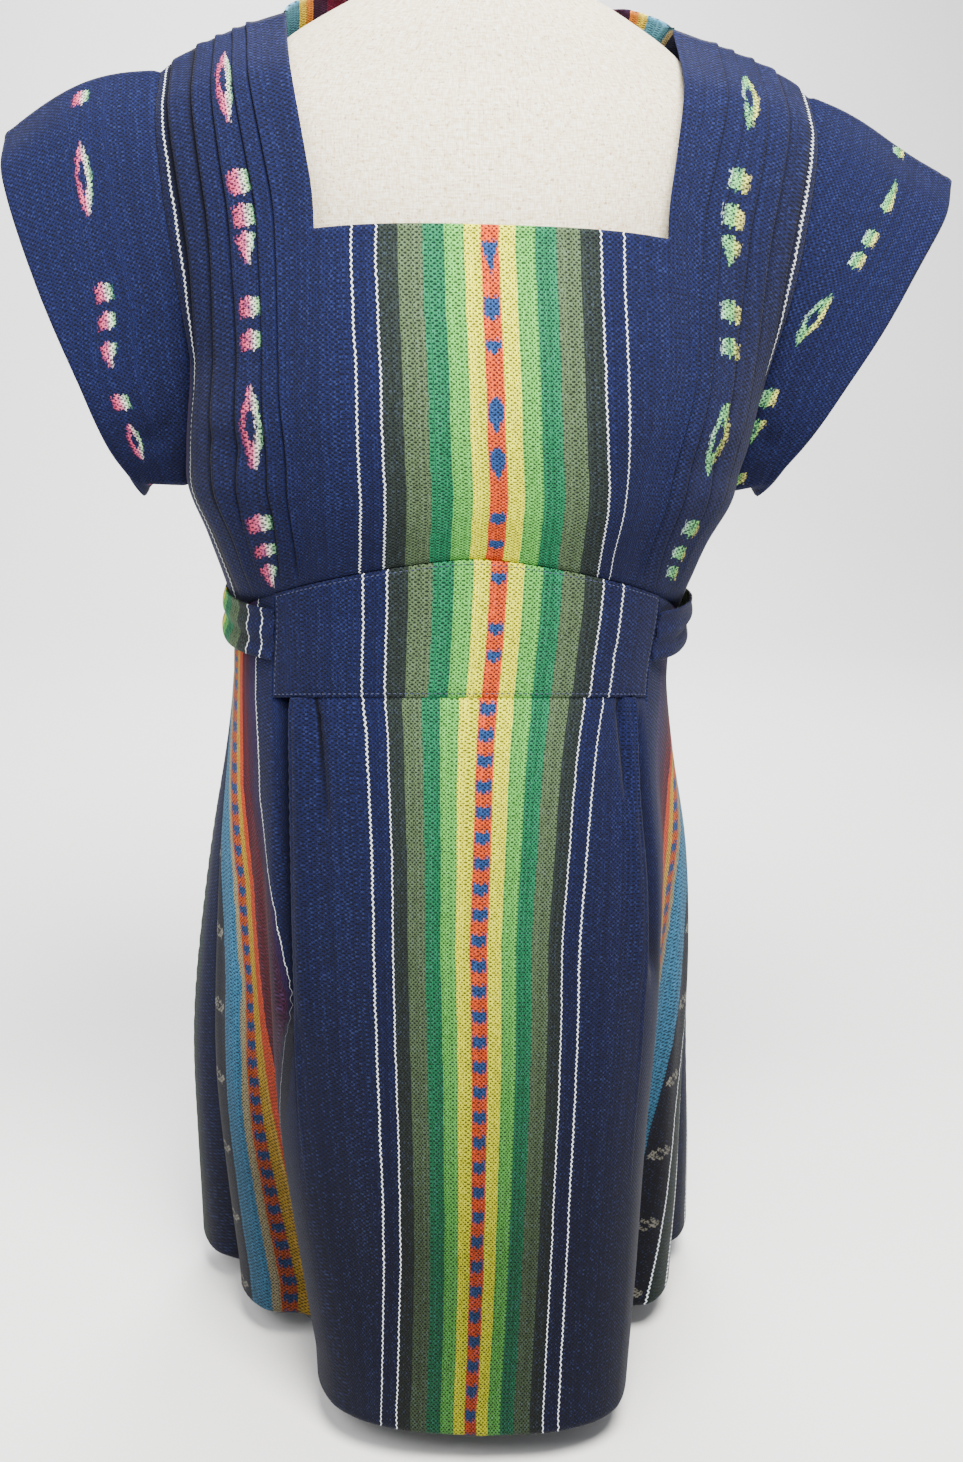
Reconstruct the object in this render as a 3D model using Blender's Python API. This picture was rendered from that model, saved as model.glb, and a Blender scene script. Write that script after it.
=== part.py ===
"""A handwoven cap-sleeved dress with a square neck, worn by a tabletop dress form.

Metres, +Z up, the front of the dress faces -Y. The origin is the middle of the underside of the
form's base. Each piece that a maker would cut and sew is an object of its own: its inner face is a
grid laid on the shape of the worn dress, and its wall is that face extruded outwards.
"""

import math
from collections import namedtuple

import bmesh
import bpy
from mathutils import Vector
from mathutils.kdtree import KDTree

# Cloth and seams
CLOTH = 0.0018
BAND_CLOTH = 0.0028
TIE_CLOTH = 0.0016
SEAM = 0.0004
SEAM_REACH = 0.012
SEAM_SPREAD = 0.0012
FORM_CLEARANCE = 0.0008
REST_GAP = 0.0003

# Heights and the main half widths
HEM_Z = 0.027
NECK_POINT = Vector((0.126, -0.008, 0.936))
SHOULDER_POINT = Vector((0.203, 0.000, 0.898))
BACK_NECK_Y = 0.080
BACK_NECK_Z = 0.956
NECK_DOWN = 0.38
UNDERARM_DOWN = 0.71
UNDERARM_Y = -0.014
NECK_PART = NECK_POINT.x / SHOULDER_POINT.x
SHOULDER_RISE = 0.004
NECKLINE_RISE_RATE = 1.6
SHOULDER_BLEND_FROM = -0.05
SHOULDER_BLEND_TO = 0.12

# The seam round the waist, and the shaped band in front
SEAM_MID_Z = 0.605
SEAM_SIDE_Z = 0.541
SEAM_BACK_Z = 0.549
SEAM_CURVE = 1.3
SHOULDER_CURVE = 3.0
BAND_PART = 0.58
BAND_MID_Z = 0.515
BAND_END_Z = 0.503

# How far the worn dress leans across at a height, and how much wider each half is there
HangRow = namedtuple("HangRow", "z lean wider")
HANG_ROWS = [
    HangRow(0.720, 0.0, 0.0),
    HangRow(0.660, -0.0040, 0.0040),
    HangRow(0.636, -0.0055, 0.0065),
    HangRow(0.605, -0.0068, 0.0005),
    HangRow(0.560, -0.0063, -0.0024),
    HangRow(0.515, -0.0095, -0.0040),
    HangRow(0.450, -0.0080, -0.0016),
    HangRow(0.380, -0.0048, 0.0036),
    HangRow(0.300, -0.0040, 0.0040),
    HangRow(0.200, -0.0050, 0.0030),
    HangRow(0.100, -0.0050, 0.0010),
    HangRow(0.020, -0.0040, 0.0),
]
HANG_REACH = 0.16
HANG_FROM = 0.195
HANG_TO = 0.235

# How far each armhole slips out over the shoulder at a height
SlipRow = namedtuple("SlipRow", "z left right")
SLIP_ROWS = [
    SlipRow(0.900, 0.004, 0.021),
    SlipRow(0.830, 0.004, 0.019),
    SlipRow(0.760, 0.002, 0.015),
    SlipRow(0.700, 0.000, 0.007),
    SlipRow(0.655, 0.000, 0.000),
]
SLIP_FROM = 0.12
SLIP_FULL = 0.195
SLIP_HELD = 0.215
SLIP_TO = 0.310

# Superellipse power of the rings, and where the flat yoke turns into a ring
ROUND = 2.3
RING_FROM = 0.30
RING_TO = 0.78

# The edge that the front and back share: down the armhole, then the side seam
EdgeRow = namedtuple("EdgeRow", "down half_width z")
EDGE_ROWS = [
    EdgeRow(0.00, 0.203, 0.898),
    EdgeRow(0.12, 0.205, 0.868),
    EdgeRow(0.25, 0.201, 0.828),
    EdgeRow(0.38, 0.195, 0.776),
    EdgeRow(0.52, 0.188, 0.717),
    EdgeRow(0.66, 0.184, 0.655),
    EdgeRow(0.82, 0.172, 0.598),
    EdgeRow(1.00, 0.158, SEAM_SIDE_Z),
]
ArmholeRow = namedtuple("ArmholeRow", "down front back")
ARMHOLE_ROWS = [
    ArmholeRow(0.00, 0.000, 0.000),
    ArmholeRow(0.12, -0.024, 0.026),
    ArmholeRow(0.25, -0.038, 0.046),
    ArmholeRow(0.38, -0.045, 0.055),
    ArmholeRow(0.52, -0.041, 0.048),
    ArmholeRow(0.63, -0.031, 0.024),
    ArmholeRow(UNDERARM_DOWN, UNDERARM_Y, UNDERARM_Y),
]

# The middle of the front and of the back, from the neck down
MiddleRow = namedtuple("MiddleRow", "down y z")
FRONT_ROWS = [
    MiddleRow(0.00, -0.030, 0.930),
    MiddleRow(0.12, -0.078, 0.902),
    MiddleRow(0.25, -0.104, 0.858),
    MiddleRow(0.38, -0.121, 0.806),
    MiddleRow(0.52, -0.138, 0.745),
    MiddleRow(0.66, -0.148, 0.687),
    MiddleRow(0.82, -0.144, 0.640),
    MiddleRow(1.00, -0.131, SEAM_MID_Z),
]
BACK_ROWS = [
    MiddleRow(0.00, 0.085, BACK_NECK_Z),
    MiddleRow(0.12, 0.099, 0.922),
    MiddleRow(0.25, 0.108, 0.872),
    MiddleRow(0.38, 0.113, 0.810),
    MiddleRow(0.52, 0.114, 0.742),
    MiddleRow(0.66, 0.111, 0.678),
    MiddleRow(0.82, 0.106, 0.618),
    MiddleRow(1.00, 0.104, SEAM_BACK_Z),
]
BODICE_DOWN = [
    0.0, 0.04, 0.08, 0.12, 0.165, 0.21, 0.26, 0.32, 0.38, 0.44, 0.50,
    0.56, 0.61, 0.66, 0.71, 0.77, 0.83, 0.89, 0.95, 1.0,
]  # fmt: skip

# Where the neck's side edge and the five tucks run down the front, as shares of the half width
TrackRow = namedtuple("TrackRow", "down middle neck first second third fourth fifth side")
TRACK_ROWS = [
    TrackRow(0.00, 0.0, NECK_PART, 0.735, 0.775, 0.822, 0.875, 0.950, 1.0),
    TrackRow(0.38, 0.0, 0.540, 0.652, 0.705, 0.787, 0.852, 0.925, 1.0),
    TrackRow(0.54, 0.0, 0.470, 0.568, 0.625, 0.718, 0.822, 0.925, 1.0),
    TrackRow(0.67, 0.0, 0.375, 0.452, 0.510, 0.610, 0.725, 0.860, 1.0),
    TrackRow(0.75, 0.0, 0.345, 0.420, 0.478, 0.582, 0.680, 0.800, 1.0),
    TrackRow(0.84, 0.0, 0.350, 0.424, 0.480, 0.597, 0.668, 0.775, 1.0),
    TrackRow(1.00, 0.0, 0.385, 0.462, 0.540, 0.632, 0.690, 0.770, 1.0),
]
TRACKS = TrackRow._fields[1:]
NECK_TRACK = 1
TUCK_TRACKS = [2, 3, 4, 5, 6]
PLAIN_TRACKS = [0.0, 0.17, 0.34, 0.51, 0.67, 0.84, NECK_TRACK, 1.5, len(TRACKS) - 1]
TUCK_HEIGHT = 0.0024
TUCK_FLAT_FROM = 0.90
TUCK_STEP = 0.20
BACK_COLUMNS = [0.0, 0.15, 0.30, 0.45, 0.56, NECK_PART, 0.74, 0.87, 1.0]

# The skirt hangs from the waist ring and widens to the hem
SkirtRow = namedtuple("SkirtRow", "down half_width front back")
SKIRT_ROWS = [
    SkirtRow(0.0, 0.158, 0.131, 0.104),
    SkirtRow(0.2, 0.169, 0.143, 0.120),
    SkirtRow(0.5, 0.184, 0.166, 0.139),
    SkirtRow(0.8, 0.189, 0.190, 0.150),
    SkirtRow(1.0, 0.188, 0.210, 0.156),
]
SKIRT_DOWN = [0.0, 0.05, 0.11, 0.18, 0.25, 0.33, 0.41, 0.49, 0.57, 0.65, 0.73, 0.81, 0.88, 0.94, 1.0]
BAND_STEPS = 3

# Where each crest and hollow of the skirt ends at the hem, on the right-hand side
HemPoint = namedtuple("HemPoint", "part x y")
FRONT_HEM = [
    HemPoint(0.00, 0.000, -0.229),
    HemPoint(0.28, 0.056, -0.223),
    HemPoint(0.50, 0.095, -0.202),
    HemPoint(0.60, 0.107, -0.168),
    HemPoint(0.69, 0.094, -0.130),
    HemPoint(0.77, 0.114, -0.098),
    HemPoint(0.85, 0.146, -0.090),
    HemPoint(0.93, 0.164, -0.062),
    HemPoint(1.00, 0.162, -0.026),
]
BACK_HEM = [
    HemPoint(0.00, 0.000, 0.168),
    HemPoint(0.12, 0.030, 0.156),
    HemPoint(0.22, 0.056, 0.138),
    HemPoint(0.32, 0.088, 0.148),
    HemPoint(0.42, 0.118, 0.134),
    HemPoint(0.52, 0.134, 0.102),
    HemPoint(0.62, 0.148, 0.074),
    HemPoint(0.72, 0.180, 0.060),
    HemPoint(0.82, 0.198, 0.028),
    HemPoint(0.92, 0.188, -0.008),
    HemPoint(1.00, 0.162, -0.026),
]
BACK_SKIRT_COLUMNS = [
    0.0, 0.06, 0.12, 0.17, 0.22, 0.27, 0.32, 0.37, 0.42, 0.47, 0.52, 0.57,
    0.62, 0.67, 0.72, 0.77, 0.82, 0.87, 0.92, 0.96, 1.0,
]  # fmt: skip
FOLD_EASE = 1.05
LEFT_FOLD = 1.06
HEM_SKEW = -0.08
FRONT_FACING = 1.4
PLEAT_PART = 0.495
PLEAT_HEIGHT = 0.0035
PLEAT_END = 0.33

# Each sleeve's opening, from its top round by the front; x is measured away from the body
SleevePoint = namedtuple("SleevePoint", "round x y z")
SLEEVE_HEM = {
    -1: [
        SleevePoint(0.00, 0.307, 0.000, 0.856),
        SleevePoint(0.10, 0.305, -0.030, 0.828),
        SleevePoint(0.22, 0.286, -0.050, 0.770),
        SleevePoint(0.36, 0.260, -0.056, 0.704),
        SleevePoint(0.45, 0.243, -0.042, 0.660),
        SleevePoint(0.54, 0.224, -0.006, 0.627),
        SleevePoint(0.63, 0.240, 0.030, 0.636),
        SleevePoint(0.75, 0.278, 0.058, 0.720),
        SleevePoint(0.90, 0.310, 0.034, 0.824),
        SleevePoint(1.00, 0.307, 0.000, 0.856),
    ],
    1: [
        SleevePoint(0.00, 0.330, 0.000, 0.848),
        SleevePoint(0.10, 0.316, -0.028, 0.820),
        SleevePoint(0.22, 0.284, -0.046, 0.772),
        SleevePoint(0.36, 0.248, -0.050, 0.716),
        SleevePoint(0.45, 0.226, -0.038, 0.668),
        SleevePoint(0.54, 0.210, -0.006, 0.632),
        SleevePoint(0.63, 0.226, 0.030, 0.644),
        SleevePoint(0.75, 0.262, 0.056, 0.724),
        SleevePoint(0.90, 0.302, 0.032, 0.820),
        SleevePoint(1.00, 0.330, 0.000, 0.848),
    ],
}
SLEEVE_OUT = [0.0, 0.10, 0.28, 0.50, 0.72, 0.88, 1.0]
SLEEVE_GAP = 0.0007
SLEEVE_CROWN = {-1: 0.011, 1: 0.003}

# The ties run from the band's ends round to a knot at the back
TIE_Z = 0.546
TIE_WIDTH = 0.034
TIE_STEPS = 24
TieRow = namedtuple("TieRow", "turn lift slack")
TIE_ROWS = [
    TieRow(0.581, 0.0022, 0.0),
    TieRow(0.70, 0.0052, 0.5),
    TieRow(1.00, 0.0080, 1.0),
    TieRow(1.40, 0.0068, 0.3),
    TieRow(1.75, 0.0052, 0.0),
    TieRow(1.949, 0.0095, 0.0),
]
TIE_SLACK = {-1: 0.0005, 1: 0.0045}
TIE_TAPER_FROM = 1.6
TIE_TAPER = 0.7
KNOT_HALF_WIDTH = 0.017
KNOT_HALF_HEIGHT = 0.016
KNOT_THICK = 0.016
KNOT_ROUND = 0.006
KNOT_LIFT = 0.0004
TAIL_LENGTH = 0.23
TAIL_STEPS = 10
TAIL_SPREAD = 0.034
TAIL_TOP_SPREAD = 0.30
TAIL_SPREAD_BY = 0.8
TAIL_TOP_WIDTH = 0.42
TAIL_LOW_WIDTH = 0.9
TAIL_WIDE_FROM = 0.35
TAIL_LIFT = 0.0035
TAIL_TOP_LIFT = 0.002

# The dress form, from the top of its neck down
FormRow = namedtuple("FormRow", "z half_width front back")
FORM_ROWS = [
    FormRow(1.020, 0.050, 0.048, 0.052),
    FormRow(0.975, 0.054, 0.052, 0.060),
    FormRow(0.955, 0.066, 0.057, 0.079),
    FormRow(0.940, 0.094, 0.064, 0.0885),
    FormRow(0.922, 0.124, 0.071, 0.098),
    FormRow(0.900, 0.148, 0.079, 0.103),
    FormRow(0.870, 0.168, 0.093, 0.107),
    FormRow(0.830, 0.168, 0.108, 0.108),
    FormRow(0.780, 0.160, 0.120, 0.107),
    FormRow(0.730, 0.154, 0.131, 0.106),
    FormRow(0.680, 0.151, 0.139, 0.102),
    FormRow(0.630, 0.143, 0.133, 0.096),
    FormRow(0.580, 0.132, 0.117, 0.091),
    FormRow(0.515, 0.119, 0.101, 0.086),
    FormRow(0.450, 0.132, 0.106, 0.097),
    FormRow(0.380, 0.150, 0.115, 0.112),
    FormRow(0.310, 0.158, 0.119, 0.121),
    FormRow(0.250, 0.153, 0.114, 0.118),
]
FORM_SIDES = 40
FORM_STEPS = 30
POLE_RADIUS = 0.012
POLE_SIDES = 20
DISC_SIDES = 40
BASE_RADIUS = 0.130
BASE_THICK = 0.008
BASE_BEVEL = 0.002
CAP_RADIUS = 0.046
CAP_THICK = 0.009

COLLECTION = "handwoven_dress"
COLOURS = {
    "navy": ((0.016, 0.026, 0.105), 0.85, 0.0),
    "linen": ((0.70, 0.64, 0.54), 0.9, 0.0),
    "steel": ((0.55, 0.55, 0.56), 0.35, 1.0),
    "cap": ((0.05, 0.045, 0.04), 0.5, 0.0),
}


def clear_scene():
    """Remove the objects that a new file holds."""
    for thing in list(bpy.data.objects):
        bpy.data.objects.remove(thing, do_unlink=True)


def smooth(rows, column, at):
    """A table's column at a place between its rows, on a smooth curve through them."""
    keys = [row[0] for row in rows]
    values = [getattr(row, column) for row in rows]
    rising = 1 if keys[-1] > keys[0] else -1
    at = max(min(at, max(keys)), min(keys))
    index = 0
    while index < len(keys) - 2 and rising * at > rising * keys[index + 1]:
        index += 1
    slopes = []
    for here in (index, index + 1):
        low = max(here - 1, 0)
        high = min(here + 1, len(keys) - 1)
        slopes.append((values[high] - values[low]) / (keys[high] - keys[low]))
    span = keys[index + 1] - keys[index]
    way = (at - keys[index]) / span
    start = (2 * way**3 - 3 * way**2 + 1) * values[index]
    leave = (way**3 - 2 * way**2 + way) * span * slopes[0]
    arrive = (way**3 - way**2) * span * slopes[1]
    end = (3 * way**2 - 2 * way**3) * values[index + 1]
    return start + leave + arrive + end


def ease(low, high, value):
    """0 below low, 1 above high, and a smooth step between them."""
    way = max(0.0, min(1.0, (value - low) / (high - low)))
    return way * way * (3 - 2 * way)


def mix(first, second, share):
    """The value or vector that lies a share of the way from first to second."""
    return first + (second - first) * share


def ring(part):
    """Across and out on a superellipse quarter: (0, 1) at part 0 and (1, 0) at part 1."""
    turn = abs(part) * math.pi / 2
    across = math.sin(turn) ** (2 / ROUND)
    out = max(0.0, math.cos(turn)) ** (2 / ROUND)
    return math.copysign(across, part), out


def track_part(track, down):
    """The share across of a track, or of a place between two of them, at a height."""
    index = min(int(track), len(TRACKS) - 2)
    low, high = (smooth(TRACK_ROWS, name, down) for name in TRACKS[index : index + 2])
    return mix(low, high, track - index)


def settle(point):
    """Lean and widen the even shape as the dress hangs, all but the sleeves' ends."""
    x, z = point.x, point.z
    lean = smooth(HANG_ROWS, "lean", z) + smooth(HANG_ROWS, "wider", z) * max(
        -1.0, min(1.0, x / HANG_REACH)
    )
    lean *= 1 - ease(HANG_FROM, HANG_TO, abs(x))
    out = smooth(SLIP_ROWS, "right" if x > 0 else "left", z)
    out *= ease(SLIP_FROM, SLIP_FULL, abs(x)) * (1 - ease(SLIP_HELD, SLIP_TO, abs(x)))
    return Vector((x + lean + math.copysign(out, x), point.y, z))


def worn(point):
    """A point of the even shape where it lies on the form as worn."""
    return clear_of_form(settle(point))


def clear_of_form(point, clearance=FORM_CLEARANCE):
    """Push a point of the cloth out where it would lie on or in the dress form."""
    if not FORM_ROWS[-1].z < point.z < FORM_ROWS[0].z:
        return point
    width = smooth(FORM_ROWS, "half_width", point.z)
    depth = smooth(FORM_ROWS, "front" if point.y < 0 else "back", point.z)
    level = (abs(point.x) / width) ** ROUND + (abs(point.y) / depth) ** ROUND
    reach = max(math.hypot(point.x, point.y), 0.001)
    wanted = level ** (-1 / ROUND) * (1 + clearance / reach) if level > 0 else 1
    if wanted <= 1:
        return point
    return Vector((point.x * wanted, point.y * wanted, point.z))


def shoulder_line(part):
    """The shoulder seam from the neck out, and the back neckline inside it."""
    side = math.copysign(1, part)
    share = abs(part)
    if share >= NECK_PART:
        way = (share - NECK_PART) / (1 - NECK_PART)
        point = mix(NECK_POINT, SHOULDER_POINT, way)
        point.z += SHOULDER_RISE * math.sin(math.pi * way)
        return Vector((side * point.x, point.y, point.z))
    way = share / NECK_PART
    across, out = ring(way)
    y = mix(NECK_POINT.y, BACK_NECK_Y, out)
    z = mix(NECK_POINT.z, BACK_NECK_Z, min(1.0, NECKLINE_RISE_RATE * out))
    return Vector((side * NECK_POINT.x * across, y, z))


def edge_y(front, down):
    """How far forward or back the armhole lies, and below it the side seam."""
    if down >= UNDERARM_DOWN:
        return UNDERARM_Y * (1 - ease(UNDERARM_DOWN, 1.0, down))
    return smooth(ARMHOLE_ROWS, "front" if front else "back", down)


def bodice_point(front, part, down):
    """A point of the bodice, front or back, by its share across and its way down."""
    rows = FRONT_ROWS if front else BACK_ROWS
    round_across, round_out = ring(part)
    turn = ease(RING_FROM, RING_TO, down)
    across = mix(part, round_across, turn)
    out = mix(1 - abs(part) ** 3, round_out, turn)
    droop = mix(SHOULDER_CURVE, SEAM_CURVE, ease(NECK_DOWN, 1.0, down))
    x = smooth(EDGE_ROWS, "half_width", down) * across
    y = mix(edge_y(front, down), smooth(rows, "y", down), out)
    z = mix(smooth(rows, "z", down), smooth(EDGE_ROWS, "z", down), abs(part) ** droop)
    point = Vector((x, y, z))
    if down <= 0:
        return shoulder_line(part)
    return mix(shoulder_line(part), point, ease(SHOULDER_BLEND_FROM, SHOULDER_BLEND_TO, down))


def tuck_height(down):
    """How far the tucks stand up at a height: they flatten into the waist seam."""
    return TUCK_HEIGHT * (1 - ease(TUCK_FLAT_FROM, 1.0, down))


def out_of(point):
    """The level direction from the body's axis to a point."""
    flat = Vector((point.x, point.y * FRONT_FACING, 0.0))
    return flat.normalized()


def front_columns():
    """The front's columns from the middle to the armhole, as places between its tracks."""
    beside = [track + TUCK_STEP for track in TUCK_TRACKS]
    return sorted([*PLAIN_TRACKS, *TUCK_TRACKS, *beside])


def waist_columns():
    """The waist shares of the front's columns, and of the band's end."""
    shares = [track_part(track, 1.0) for track in front_columns()]
    return sorted([*shares, BAND_PART])


def mirrored(half):
    """Columns over both sides, from the left edge to the right edge, as (side, column)."""
    left = [(-1, column) for column in reversed(half[1:])]
    return left + [(1, column) for column in half]


def front_bodice_point(column, down):
    """A point of the front bodice, with its tucks raised."""
    side, track = column
    point = bodice_point(True, track_part(track, down) * side, down)
    if track in TUCK_TRACKS:
        point += out_of(point) * tuck_height(down)
    return worn(point)


def waist_z(part, front):
    """The height of the waist seam at a share of the way round."""
    middle = SEAM_MID_Z if front else SEAM_BACK_Z
    return mix(middle, SEAM_SIDE_Z, abs(part) ** SEAM_CURVE)


def band_z(part):
    """The height of the band's lower seam."""
    return mix(BAND_MID_Z, BAND_END_Z, min(1.0, abs(part) / BAND_PART) ** 2)


def skirt_ring(part, down, front):
    """The skirt's plain ring, before its folds."""
    across, out = ring(part)
    depth = smooth(SKIRT_ROWS, "front" if front else "back", down)
    width = smooth(SKIRT_ROWS, "half_width", down)
    return Vector((width * across, -depth * out if front else depth * out, 0.0))


def skirt_point(part, down, front):
    """A point of the skirt below the band: the ring, and folds that deepen to the hem."""
    hem_rows = FRONT_HEM if front else BACK_HEM
    share = abs(part)
    hem = Vector((smooth(hem_rows, "x", share), smooth(hem_rows, "y", share), 0.0))
    hem.x = math.copysign(hem.x, part)
    hem.y += HEM_SKEW * hem.x * max(0.0, hem.y / FRONT_HEM[0].y)
    fold = hem - skirt_ring(part, 1.0, front)
    deep = down**FOLD_EASE
    if part < 0 and front:
        deep = min(1.0, deep * LEFT_FOLD)
    point = skirt_ring(part, down, front) + fold * deep
    point.z = mix(band_z(part) if front else band_z(1.0), HEM_Z, down)
    if front and abs(share - PLEAT_PART) < 0.001:
        point += out_of(point) * PLEAT_HEIGHT * (1 - ease(0.0, PLEAT_END, down))
    return worn(point)


def yoke_point(part, down, front):
    """A point between the waist seam and the level of the band's lower seam."""
    base = skirt_ring(part, 0.0, front)
    low = band_z(part) if front else band_z(1.0)
    base.z = mix(waist_z(part, front), low, down)
    return worn(base)


def grid(columns, rows, place, keep=None, closed=False):
    """A grid whose point in each column and row is put in its place."""
    panel = bmesh.new()
    across = len(columns) - 1
    down = len(rows) - 1
    bmesh.ops.create_grid(panel, x_segments=across, y_segments=down, size=0.5)
    cells = {}
    for face in panel.faces:
        middle = face.calc_center_median()
        cells[face] = (int((middle.x + 0.5) * across), int((middle.y + 0.5) * down))
    for vert in panel.verts:
        column = round((vert.co.x + 0.5) * across)
        row = round((vert.co.y + 0.5) * down)
        vert.co = place(columns[column], rows[row])
    if keep:
        gone = [face for face, cell in cells.items() if not keep(*cell)]
        bmesh.ops.delete(panel, geom=gone, context="FACES")
    if closed:
        bmesh.ops.remove_doubles(panel, verts=panel.verts[:], dist=0.00005)
    return panel


def face_outwards(panel, centre):
    """Turn a panel's faces so that they look away from a line up through centre."""
    panel.normal_update()
    score = 0.0
    for face in panel.faces:
        away = face.calc_center_median() - centre
        away.z = 0.0
        score += face.normal.dot(away) * face.calc_area()
    if score < 0:
        bmesh.ops.reverse_faces(panel, faces=panel.faces[:])
    panel.normal_update()


def seam_inset(vert):
    """How far an edge point moves into its own piece, to leave half the seam's gap."""
    inward = []
    for edge in vert.link_edges:
        if not edge.is_boundary:
            continue
        along = (edge.verts[1].co - edge.verts[0].co).normalized()
        middle = (edge.verts[0].co + edge.verts[1].co) / 2
        into = edge.link_faces[0].calc_center_median() - middle
        inward.append((into - along * into.dot(along)).normalized())
    if len(inward) != 2:
        return Vector()
    total = inward[0] + inward[1]
    return total / max(0.4, 1 + inward[0].dot(inward[1])) * SEAM / 2


def make_walls(panels, thickness):
    """Give each panel its wall, along directions that the pieces share at their seams."""
    edge_points = [
        (name, vert.co.copy(), vert.normal.copy())
        for name, panel in panels.items()
        for vert in panel.verts
        if vert.is_boundary
    ]
    tree = KDTree(len(edge_points))
    for index, (_, place, _) in enumerate(edge_points):
        tree.insert(place, index)
    tree.balance()
    for name, panel in panels.items():
        directions = {}
        insets = {}
        for vert in panel.verts:
            direction = vert.normal.copy()
            if vert.is_boundary:
                near = tree.find_range(vert.co, SEAM_REACH)
                others = [item for item in near if edge_points[item[1]][0] != name]
                if others:
                    closest = min(others, key=lambda item: item[2])
                    matched = [item for item in others if item[2] < closest[2] + SEAM_SPREAD]
                    for _, index, _ in matched:
                        direction += edge_points[index][2]
                insets[vert] = seam_inset(vert)
            directions[vert] = direction.normalized()
        for vert, inset in insets.items():
            vert.co += inset
        raise_wall(panel, directions, thickness.get(name, CLOTH))


def raise_wall(panel, directions, thickness):
    """Extrude a panel into a closed wall of even thickness."""
    inner = panel.faces[:]
    made = bmesh.ops.extrude_face_region(panel, geom=inner, use_keep_orig=True)
    places = {}
    for vert, direction in directions.items():
        places.setdefault(tuple(vert.co), direction)
    for vert in [item for item in made["geom"] if isinstance(item, bmesh.types.BMVert)]:
        vert.co += places[tuple(vert.co)] * thickness
    bmesh.ops.recalc_face_normals(panel, faces=panel.faces[:])
    if panel.calc_volume(signed=True) < 0:
        bmesh.ops.reverse_faces(panel, faces=panel.faces[:])


def finish(solid, name, collection, colour):
    """Make an object with its own material from a finished bmesh."""
    mesh = bpy.data.meshes.new(name)
    solid.to_mesh(mesh)
    solid.free()
    base, roughness, metallic = COLOURS[colour]
    material = bpy.data.materials.new(name)
    material.use_nodes = True
    shader = material.node_tree.nodes["Principled BSDF"]
    shader.inputs["Base Color"].default_value = (*base, 1.0)
    shader.inputs["Roughness"].default_value = roughness
    shader.inputs["Metallic"].default_value = metallic
    mesh.materials.append(material)
    thing = bpy.data.objects.new(name, mesh)
    collection.objects.link(thing)
    mesh.shade_smooth()
    mesh.set_sharp_from_angle(angle=math.radians(50))
    return thing


def front_bodice():
    """The front with its square neck and tucks."""
    columns = mirrored(front_columns())
    neck_row = BODICE_DOWN.index(NECK_DOWN)
    neck_column = front_columns().index(NECK_TRACK)
    middle = len(columns) // 2

    def keep(column, row):
        in_neck = middle - neck_column <= column < middle + neck_column
        return not (in_neck and row < neck_row)

    return grid(columns, BODICE_DOWN, front_bodice_point, keep)


def back_bodice():
    """The plain back, cut high at the neck."""
    columns = mirrored(BACK_COLUMNS)

    def place(column, down):
        side, part = column
        return worn(bodice_point(False, side * part, down))

    return grid(columns, BODICE_DOWN, place)


def armhole(way):
    """The armhole's places from the shoulder by the front to the underarm and up the back."""
    rows = [down for down in BODICE_DOWN if down <= UNDERARM_DOWN]
    last = len(rows) - 1
    if way <= last:
        return bodice_point(True, 1.0, rows[way])
    return bodice_point(False, 1.0, rows[2 * last - way])


def sleeve(side):
    """A short wide sleeve, from the armhole to its open end."""
    steps = 2 * (len([down for down in BODICE_DOWN if down <= UNDERARM_DOWN]) - 1)

    def place(step, out):
        way = step / steps
        start = armhole(step) + Vector((SLEEVE_GAP, 0.0, 0.0))
        end = Vector(smooth(SLEEVE_HEM[side], axis, way) for axis in "xyz")
        point = mix(start, end, out)
        crown = math.sin(math.pi * out) * max(0.0, math.cos(2 * math.pi * way))
        point.z += SLEEVE_CROWN[side] * crown
        point.x *= side
        return worn(point)

    return grid(list(range(steps + 1)), SLEEVE_OUT, place, closed=True)


def front_band():
    """The shaped band under the bust."""
    half = [part for part in waist_columns() if part <= BAND_PART]
    rows = [step / BAND_STEPS for step in range(BAND_STEPS + 1)]

    def place(column, down):
        side, part = column
        return yoke_point(side * part, down, front=True)

    return grid(mirrored(half), rows, place)


def skirt(front):
    """Half of the skirt. The front one is cut away where the band sits."""
    half = waist_columns() if front else BACK_SKIRT_COLUMNS
    columns = mirrored(half)
    yoke = [("yoke", step / BAND_STEPS) for step in range(BAND_STEPS)]
    rows = yoke + [("skirt", down) for down in SKIRT_DOWN]
    middle = len(columns) // 2
    under_band = half.index(BAND_PART) if front else 0

    def place(column, row):
        side, part = column
        kind, down = row
        maker = yoke_point if kind == "yoke" else skirt_point
        return maker(side * part, down, front)

    def keep(column, row):
        in_band = middle - under_band <= column < middle + under_band
        return not (in_band and row < BAND_STEPS)

    return grid(columns, rows, place, keep)


def waist_outline(turn):
    """The level place of the waist ring at 0 (front middle) to 2 (back middle) quarters."""
    front = turn <= 1
    return skirt_ring(turn if front else 2 - turn, 0.0, front)


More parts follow.
